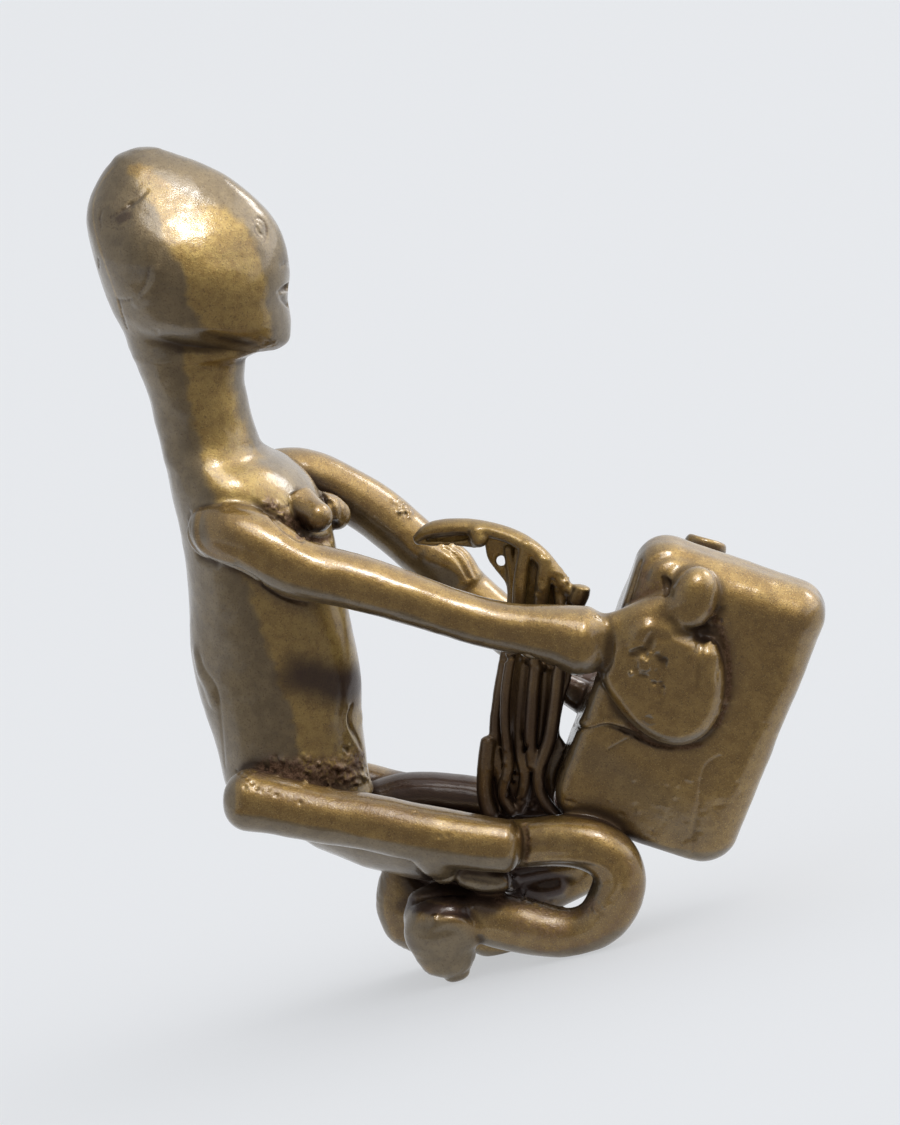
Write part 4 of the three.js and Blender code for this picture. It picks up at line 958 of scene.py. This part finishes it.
CO = 3                                     # coarse grid for the occlusion of each point
full = np.clip(0.5 - F / STEP, 0, 1)
trim = tuple(slice(0, (d // CO) * CO) for d in DIM)
full = full[trim].reshape(DIM[0] // CO, CO, DIM[1] // CO, CO, DIM[2] // CO, CO).mean((1, 3, 5))
CDIM = np.array(full.shape)
NEAR_OCC = blur(full, max(1, int(round(0.45 / (STEP * CO)))))
WIDE_OCC = blur(full, max(2, int(round(1.7 / (STEP * CO)))))


def sample_coarse(arr, p):
    g = (np.asarray(p, float) - GLO) / (STEP * CO) - 0.5 * (CO - 1) / CO
    g = np.clip(g, 0, CDIM - 1.001)
    i = g.astype(int); t = g - i
    x, y, z = i.T; u, v, w = t.T
    r = 0
    for dx, wx in ((0, 1 - u), (1, u)):
        for dy, wy in ((0, 1 - v), (1, v)):
            for dz, wz in ((0, 1 - w), (1, w)):
                r = r + arr[x + dx, y + dy, z + dz] * (wx * wy * wz)
    return r


def lattice(p, scale, seed):
    """Smooth value noise, about -1 to 1, on points p in mm."""
    rng = np.random.default_rng(seed)
    n = 32
    tab = rng.uniform(-1, 1, (n, n, n))
    g = np.asarray(p, float) / scale + 100.0
    i = np.floor(g).astype(int); t = g - i
    t = t * t * t * (t * (t * 6 - 15) + 10)
    x, y, z = (i % n).T; u, v, w = t.T
    r = 0
    for dx, wx in ((0, 1 - u), (1, u)):
        for dy, wy in ((0, 1 - v), (1, v)):
            for dz, wz in ((0, 1 - w), (1, w)):
                r = r + tab[(x + dx) % n, (y + dy) % n, (z + dz) % n] * (wx * wy * wz)
    return r


def uneven(p):
    return 0.055 * lattice(p, 3.1, 1) + 0.022 * lattice(p, 1.3, 2) + 0.008 * lattice(p, 0.55, 3)


# outlines of the polished gold patches on the side seen by the camera, pixels, standing also for painted dark
# reflection; the grey film with painted reflection of the pale room lies round them
POLISHED_AND_DARK_REFLECTION = {"head": [(131, 166), (140, 162), (148, 167), (160, 178), (180, 190), (200, 202), (224, 209), (240, 222), (252, 240), (260, 264),
                     (265, 287), (271, 309), (276, 328), (273, 338), (236, 338), (215, 334), (204, 325), (195, 310), (189, 290), (183, 273),
                     (171, 257), (165, 243), (162, 224), (156, 206), (142, 191)],
            "body": [(183, 335), (240, 335), (236, 370), (236, 400), (242, 420), (250, 446), (262, 464), (292, 500), (330, 524), (345, 560),
                     (366, 640), (370, 700), (378, 760), (378, 800), (308, 800), (300, 756), (295, 735), (288, 710), (278, 690), (273, 665),
                     (268, 640), (258, 620), (250, 597), (240, 575), (225, 540), (215, 500), (207, 470), (200, 445), (193, 429), (186, 395)]}


def polished_and_dark_reflection(p, n, key):
    """1 inside the patch, 0 outside, and how far the surface faces the camera."""
    u, v, _ = to_px(p)
    d = outline_distance(u, v, np.array(POLISHED_AND_DARK_REFLECTION[key], float))
    d = d + 5.0 * lattice(p, 1.3, 15) + 2.5 * lattice(p, 0.4, 16)
    x = np.clip((4.5 - d) / 9.0, 0, 1)
    return x * x * (3 - 2 * x), np.clip((n @ BACK + 0.1) / 0.3, 0, 1)


# grey film with painted reflection of the pale room on the sides turned to the left, down, or up to the right in the
# camera's view: thresholds on the surface's direction
FILM_AND_REFLECTION = {"head": (-0.16, -0.75, 0.50), "neck": (-0.36, -0.75, 0.46), "torso": (-0.04, -0.8, 0.80), "arm_right": (-0.55, -0.50, 2.0),
        "seat_rim_right": (-0.50, -0.36, 2.0), "seat_rim_left": (-0.50, -0.36, 2.0), "seat_plate": (0.9, 0.9, -2.0),
        "arm_left": (-0.2, -0.1, 0.9), "sound_box": (-0.6, -0.6, 2.0), "seat_stub": (0.3, 0.3, 2.0)}
GOLD = {"head": 0.9, "neck": 0.9, "torso": 0.9}
THREADS = ("string", "harp_neck", "neck_stub", "neck_web")

made = []
for i, name in enumerate(NAMES):
    sl = CELLS[i]
    d = OWN[i]
    other = np.where(ID[sl] == i, D2[sl], D1[sl])
    past = d - other                        # how far beyond the seam with the next element
    f = F[sl] + 0.012 * np.clip(past / 0.3, 0, 1) + dip(np.maximum(past - 0.35, 0))
    f[0], f[-1], f[:, 0], f[:, -1], f[:, :, 0], f[:, :, -1] = (np.maximum(x, 0.05) for x in (f[0], f[-1], f[:, 0], f[:, -1], f[:, :, 0], f[:, :, -1]))
    v, q = nets(f)
    v, q = keep_largest(v, q)
    v = relax(v, q)
    lo = np.array([AX[k][sl[k].start] for k in range(3)])
    p = lo + v * STEP
    nrm = slope_at(F, p)
    p = p + nrm * uneven(p)[:, None]
    p[:, 2] = np.maximum(p[:, 2], FLOOR)
    me = bpy.data.meshes.new(name)
    me.vertices.add(len(p)); me.loops.add(q.size); me.polygons.add(len(q))
    me.vertices.foreach_set("co", ((p - ORIGIN) * 0.001).astype(np.float32).ravel())
    me.loops.foreach_set("vertex_index", q.astype(np.int32).ravel())
    me.polygons.foreach_set("loop_start", (np.arange(len(q)) * 4).astype(np.int32))
    me.polygons.foreach_set("use_smooth", np.ones(len(q), bool))
    me.update(calc_edges=True)
    n = slope_at(F, p)
    nx, ny = n @ CAM_X, n @ CAM_Y
    wob = 0.08 * lattice(p, 2.6, 8) + 0.015 * lattice(p, 0.5, 9)
    tx, ty, tr = FILM_AND_REFLECTION.get(name, (-0.62, -0.62, 2.0))
    if name in ("neck", "torso"):
        w = np.clip((p[:, 2] - 9.0) / 8.0, 0, 1)
        tx, ty, tr = (FILM_AND_REFLECTION["torso"][c] * (1 - w) + FILM_AND_REFLECTION["neck"][c] * w for c in range(3))
    step01 = lambda x: np.clip(x / 0.10, 0, 1)
    # grey film and painted reflection: grey where the surface turns past these thresholds in the camera's view, gold
    # inside the patches facing the camera
    film_and_reflection = np.maximum.reduce([step01(tx - nx + wob), step01(ty - ny + wob), step01(nx * 0.8 + ny * 0.5 - tr + wob)])
    if name in ("head", "neck", "torso"):
        gold_patch, w = polished_and_dark_reflection(p, n, "head" if name == "head" else "body")
        film_and_reflection = (1 - gold_patch) * w + film_and_reflection * (1 - w)
    film_and_reflection = np.maximum(film_and_reflection, mark("grey", p)) * (1 - mark("rub", p))
    gold = np.full(len(p), GOLD.get(name, 0.0))
    if name.startswith(THREADS):
        # painted light: threads bright gold above the near arm, darker below it, in its shade
        gold = np.clip((640 - to_px(p)[1]) / 50, 0, 1)
    shade = sample_coarse(WIDE_OCC, p + n * 2.4)
    marks = (("near_occ", sample_coarse(NEAR_OCC, p)), ("wide_occ", sample_coarse(WIDE_OCC, p)), ("film_and_reflection", film_and_reflection), ("shade", shade),
             ("dark", mark("dark", p)), ("dirt_and_shade", mark("dirt_and_shade", p)), ("gold", gold))
    for key, val in marks:
        at = me.attributes.new(key, "FLOAT", "POINT")
        at.data.foreach_set("value", np.asarray(val, np.float32))
    ob = bpy.data.objects.new("cast_" + name, me)
    bpy.context.scene.collection.objects.link(ob)
    made.append((name, ob, p))
    OWN[i] = None
    print(name, len(p), len(q))


# ------------------------------------------------------------------ materials
class Nodes:
    """Small helper to write a node tree as expressions."""

    def __init__(self, mat):
        mat.use_nodes = True
        self.t = mat.node_tree
        self.t.nodes.clear()
        self.n = 0

    def add(self, kind, **props):
        nd = self.t.nodes.new(kind)
        self.n += 1
        nd.location = (-1800 + 160 * (self.n % 14), 900 - 180 * (self.n // 14))
        for k, v in props.items():
            setattr(nd, k, v)
        return nd

    def link(self, a, b):
        self.t.links.new(a, b)

    def put(self, socket, x):
        if isinstance(x, (int, float)):
            socket.default_value = x
        elif isinstance(x, (tuple, list)):
            socket.default_value = tuple(x) + ((1.0,) if len(x) == 3 and len(socket.default_value) == 4 else ())
        else:
            self.link(x, socket)

    def math(self, op, a, b=0.0, c=0.0, clamp=False):
        nd = self.add("ShaderNodeMath", operation=op, use_clamp=clamp)
        for s, x in zip(nd.inputs, (a, b, c)):
            self.put(s, x)
        return nd.outputs[0]

    def mix(self, f, a, b, blend="MIX"):
        nd = self.add("ShaderNodeMix", data_type="RGBA", blend_type=blend, clamp_factor=True)
        self.put(nd.inputs[0], f); self.put(nd.inputs[6], a); self.put(nd.inputs[7], b)
        return nd.outputs[2]

    def smooth(self, x, lo, hi, a=0.0, b=1.0):
        nd = self.add("ShaderNodeMapRange", interpolation_type="SMOOTHSTEP", clamp=True)
        for s, v in zip(nd.inputs[:5], (x, lo, hi, a, b)):
            self.put(s, v)
        return nd.outputs[0]

    def noise(self, vec, scale, detail=2.0, rough=0.5, distortion=0.0):
        nd = self.add("ShaderNodeTexNoise")
        self.put(nd.inputs["Vector"], vec)
        nd.inputs["Scale"].default_value = scale
        nd.inputs["Detail"].default_value = detail
        nd.inputs["Roughness"].default_value = rough
        nd.inputs["Distortion"].default_value = distortion
        return nd.outputs[0]

    def voronoi(self, vec, scale, feature="F1"):
        nd = self.add("ShaderNodeTexVoronoi", feature=feature)
        self.put(nd.inputs["Vector"], vec)
        nd.inputs["Scale"].default_value = scale
        return nd.outputs["Distance"]

    def attr(self, name):
        nd = self.add("ShaderNodeAttribute", attribute_name=name)
        return nd.outputs["Fac"]


def brass(name, thread=0.0):
    m = bpy.data.materials.new(name)
    g = Nodes(m)
    tc = g.add("ShaderNodeTexCoord").outputs["Object"]
    sc = g.add("ShaderNodeVectorMath", operation="SCALE")
    g.link(tc, sc.inputs[0]); sc.inputs[3].default_value = 1000.0      # millimetres
    p = sc.outputs[0]
    near, wide, film_and_reflection, shade, dark, dirt_and_shade, bright = (g.attr(k) for k in ("near_occ", "wide_occ", "film_and_reflection", "shade", "dark", "dirt_and_shade", "gold"))
    big = g.noise(p, 0.16, 3.0, 0.55, 0.6)
    mid = g.noise(p, 0.9, 4.0, 0.6, 0.3)
    blot = g.noise(p, 2.3, 3.0, 0.6, 0.8)
    fine = g.noise(p, 6.5, 4.0, 0.65)
    grain = g.noise(p, 11.0, 3.0, 0.6)
    # polished olive gold, dull grey film with painted reflection, brown tarnish in hollows, dark specks, painted shade
    # in enclosed places
    gold = g.mix(g.smooth(mid, 0.35, 0.7), (0.214, 0.128, 0.037), (0.303, 0.196, 0.063))
    gold = g.mix(g.math("MULTIPLY", bright, g.smooth(g.noise(p, 1.4, 3.0, 0.6, 0.5), 0.36, 0.64, 0.10 if thread else 0.18, 0.35 if thread else 0.78)), gold, (0.385, 0.271, 0.088))
    gold = g.mix(g.math("MULTIPLY", g.smooth(big, 0.50, 0.66), 0.5), gold, (0.19, 0.115, 0.045))
    grey = g.mix(g.smooth(mid, 0.3, 0.7), (0.150, 0.110, 0.060), (0.205, 0.153, 0.084))
    grey = g.mix(g.math("MULTIPLY", g.smooth(blot, 0.55, 0.68), 0.35), grey, (0.10, 0.072, 0.05))
    brown = g.mix(g.smooth(fine, 0.35, 0.7), (0.060, 0.036, 0.024), (0.13, 0.085, 0.055))
    rust = g.mix(g.smooth(fine, 0.35, 0.65), (0.09, 0.045, 0.026), (0.26, 0.165, 0.11))
    cav = g.smooth(g.math("ADD", near, g.math("MULTIPLY", g.math("SUBTRACT", mid, 0.5), 0.10)), 0.50, 0.64)
    low = g.smooth(g.math("ADD", wide, g.math("MULTIPLY", g.math("SUBTRACT", mid, 0.5), 0.10)), 0.50, 0.72)
    deep = g.smooth(g.math("ADD", shade, g.math("MULTIPLY", g.math("SUBTRACT", mid, 0.5), 0.08)), 0.14, 0.42)
    col = g.mix(film_and_reflection, gold, grey)
    col = g.mix(g.math("MULTIPLY", g.smooth(fine, 0.54, 0.66), 0.60), col, (0.085, 0.050, 0.022))
    col = g.mix(g.math("MULTIPLY", g.math("MULTIPLY", g.smooth(grain, 0.56, 0.68), g.math("SUBTRACT", 1.0, film_and_reflection)), 0.55), col, (0.52, 0.38, 0.14))
    col = g.mix(g.math("MULTIPLY", low, 0.65), col, brown)
    # painted shade where the surface is enclosed (shade value)
    col = g.mix(g.math("MULTIPLY", deep, 0.80), col, (0.055, 0.033, 0.026))
    # dark marks: painted shade on the jaw, belly, foot, leg loop and lap, and dirt in the cracks
    col = g.mix(g.math("MULTIPLY", dark, 0.92), col, (0.045, 0.026, 0.024))
    col = g.mix(g.math("MULTIPLY", cav, 0.75), col, (0.055, 0.034, 0.024))
    # rust-coloured dirt, and painted shade along the lower edges of the knee and the box
    col = g.mix(g.math("MULTIPLY", dirt_and_shade, g.smooth(blot, 0.34, 0.55)), col, rust)
    # painted shade: threads darken where the gold value is low, below the near arm
    if thread:
        col = g.mix(g.math("SUBTRACT", 0.50, g.math("MULTIPLY", bright, 0.45)), col, (0.090, 0.056, 0.046))
    rough = g.math("ADD", g.math("ADD", 0.40 + 0.05 * thread, g.math("MULTIPLY", fine, 0.16)), g.math("MULTIPLY", g.math("ADD", cav, dirt_and_shade), 0.2))
    bsdf = g.add("ShaderNodeBsdfPrincipled")
    g.put(bsdf.inputs["Base Color"], col)
    bsdf.inputs["Metallic"].default_value = 1.0
    g.put(bsdf.inputs["Roughness"], rough)
    g.put(bsdf.inputs["Coat Weight"], g.math("SUBTRACT", 0.95 - 0.35 * thread, g.math("ADD", g.math("ADD", g.math("MULTIPLY", dirt_and_shade, 0.6), g.math("MULTIPLY", dark, 0.4)), g.math("MULTIPLY", cav, 0.75)), clamp=True))
    g.put(bsdf.inputs["Coat Roughness"], g.math("ADD", 0.13, g.math("MULTIPLY", dirt_and_shade, 0.3)))
    bsdf.inputs["Coat IOR"].default_value = 1.6
    bump = g.add("ShaderNodeBump")
    bump.inputs["Strength"].default_value = 0.6
    bump.inputs["Distance"].default_value = 0.00005
    g.put(bump.inputs["Height"], g.math("ADD", g.math("ADD", g.math("MULTIPLY", fine, 0.6), g.math("MULTIPLY", grain, 0.5)), g.math("MULTIPLY", blot, g.math("ADD", 0.5, g.math("MULTIPLY", dirt_and_shade, 2.0)))))
    g.link(bump.outputs[0], bsdf.inputs["Normal"])
    film_bump = g.add("ShaderNodeBump")        # the worn lacquer-like surface is smoother than the metal under it
    film_bump.inputs["Strength"].default_value = 0.22
    film_bump.inputs["Distance"].default_value = 0.00005
    g.put(film_bump.inputs["Height"], g.math("ADD", g.math("MULTIPLY", fine, 0.7), g.math("MULTIPLY", blot, g.math("ADD", 0.6, g.math("MULTIPLY", dirt_and_shade, 6.0)))))
    g.link(film_bump.outputs[0], bsdf.inputs["Coat Normal"])
    out = g.add("ShaderNodeOutputMaterial")
    g.link(bsdf.outputs[0], out.inputs[0])
    return m


BODY_MAT = brass("aged_brass")
THREAD_MAT = brass("aged_brass_threads", 1.0)
for name, ob, p in made:
    thin = name.startswith(THREADS)
    ob.data.materials.append(THREAD_MAT if thin else BODY_MAT)
    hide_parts(name)
    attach(ob, "root")

# ------------------------------------------------------------------ floor, lights, camera
def plain(name, colour, rough):
    m = bpy.data.materials.new(name)
    m.use_nodes = True
    b = m.node_tree.nodes["Principled BSDF"]
    b.inputs["Base Color"].default_value = (*colour, 1)
    b.inputs["Roughness"].default_value = rough
    b.inputs["Specular IOR Level"].default_value = 0.0
    return m


fm = bpy.data.meshes.new("floor")
R = 6.0
fm.from_pydata([(-R, -R, 0), (R, -R, 0), (R, R, 0), (-R, R, 0)], [], [(0, 1, 2, 3)])
floor = bpy.data.objects.new("floor", fm)
bpy.context.scene.collection.objects.link(floor)
paper = plain("floor_paper", (0.36, 0.365, 0.375), 0.9)
pb = paper.node_tree.nodes["Principled BSDF"]
pb.inputs["Emission Color"].default_value = (0.955, 0.975, 1.0, 1)
pb.inputs["Emission Strength"].default_value = 0.50
floor.data.materials.append(paper)

TARGET = -ORIGIN * 0.001                   # the camera's target in the part's frame, metres


def cam_dir(x, y, z):
    """Direction given in the camera's axes: right, up, towards the camera."""
    return CAM_X * x + CAM_Y * y + BACK * z


def softbox(name, direction, dist, size, power, colour=(1, 1, 1)):
    d = unit(np.array(direction, float))
    li = bpy.data.lights.new(name, "AREA")
    li.shape = "RECTANGLE"
    li.size, li.size_y = size
    li.energy = power
    li.color = colour
    o = bpy.data.objects.new(name, li)
    bpy.context.scene.collection.objects.link(o)
    pos = TARGET + d * dist
    z = d
    x = unit(np.cross((0, 0, 1.0), z))
    y = np.cross(z, x)
    from mathutils import Matrix
    o.matrix_world = Matrix([[x[0], y[0], z[0], pos[0]], [x[1], y[1], z[1], pos[1]], [x[2], y[2], z[2], pos[2]], [0, 0, 0, 1]])
    return o


key = softbox("key", cam_dir(0.18, 0.75, 0.64), 1.1, (0.16, 0.16), 2.7, (1.0, 0.99, 0.97))
glow = softbox("glow", cam_dir(0.05, 0.78, 0.62), 1.0, (0.50, 0.50), 3.2, (1.0, 0.99, 0.97))
key.visible_diffuse = glow.visible_diffuse = False                # it only makes highlights, the floor is lit by the soft light
softbox("side", cam_dir(0.80, 0.60, -0.05), 1.6, (1.2, 1.2), 5.5)
edge = softbox("edge", cam_dir(0.60, 0.74, -0.20), 1.3, (0.34, 0.34), 3.2)
edge.visible_diffuse = False


# dark cards stand in for the unlit room on the camera's side; only reflections see them
def card(name, corners, level, colour=(0.95, 0.88, 0.80)):
    mt = bpy.data.materials.new(name)
    mt.use_nodes = True
    nt = mt.node_tree
    nt.nodes.clear()
    em = nt.nodes.new("ShaderNodeEmission")
    em.inputs[0].default_value = (*colour, 1)
    em.inputs[1].default_value = level
    mo = nt.nodes.new("ShaderNodeOutputMaterial")
    nt.links.new(em.outputs[0], mo.inputs[0])
    cm = bpy.data.meshes.new(name)
    cm.from_pydata([tuple(c) for c in corners], [], [(0, 1, 2, 3)])
    o = bpy.data.objects.new(name, cm)
    bpy.context.scene.collection.objects.link(o)
    o.data.materials.append(mt)
    o.visible_camera = o.visible_diffuse = o.visible_shadow = o.visible_transmission = False


card("card_front", [TARGET + cam_dir(x, y, 0.45) for x, y in ((-0.27, -0.60), (0.60, -0.60), (0.60, 0.24), (-0.27, 0.24))], 0.31)
front, side = unit(BACK * np.array([1, 1, 0])), _right
card("card_low", [side * x + front * y + np.array([0, 0, 0.0006]) for x, y in ((-0.25, 0.017), (0.80, 0.017), (1.10, 0.60), (-0.40, 0.60))], 0.36)

# soft light all round: palest up to the right, darker on the camera's side
world = bpy.data.worlds.new("studio")
bpy.context.scene.world = world
world.use_nodes = True
wt = world.node_tree
wt.nodes.clear()
geo = wt.nodes.new("ShaderNodeTexCoord")


def toward(vec, lo, hi, a, b):
    dot = wt.nodes.new("ShaderNodeVectorMath"); dot.operation = "DOT_PRODUCT"
    wt.links.new(geo.outputs["Generated"], dot.inputs[0]); dot.inputs[1].default_value = tuple(vec)
    mr = wt.nodes.new("ShaderNodeMapRange"); mr.interpolation_type = "SMOOTHSTEP"
    wt.links.new(dot.outputs["Value"], mr.inputs[0])
    for k, v in enumerate((lo, hi, a, b)):
        mr.inputs[k + 1].default_value = v
    return mr.outputs[0]


def wmath(op, p, q):
    nd = wt.nodes.new("ShaderNodeMath"); nd.operation = op
    for s_, x in zip(nd.inputs, (p, q)):
        if isinstance(x, (int, float)):
            s_.default_value = x
        else:
            wt.links.new(x, s_)
    return nd.outputs[0]


pale = toward(unit(cam_dir(0.75, 0.60, -0.1)), 0.0, 0.8, 0.60, 1.35)
level = wmath("MULTIPLY", pale, toward(BACK, 0.35, 0.95, 1.0, 0.5))
bg = wt.nodes.new("ShaderNodeBackground")
bg.inputs[0].default_value = (0.97, 0.98, 1.0, 1)
wt.links.new(level, bg.inputs[1])
wo = wt.nodes.new("ShaderNodeOutputWorld")
wt.links.new(bg.outputs[0], wo.inputs[0])

cd = bpy.data.cameras.new("camera")
cd.lens, cd.sensor_width = LENS, SENSOR
cd.clip_start, cd.clip_end = 0.05, 20
cam = bpy.data.objects.new("camera", cd)
bpy.context.scene.collection.objects.link(cam)
from mathutils import Matrix
cp = TARGET + BACK * DIST * 0.001
cam.matrix_world = Matrix([[CAM_X[k], CAM_Y[k], BACK[k], cp[k]] for k in range(3)] + [[0, 0, 0, 1]])
bpy.context.scene.camera = cam
bpy.context.scene.view_settings.view_transform = "Standard"

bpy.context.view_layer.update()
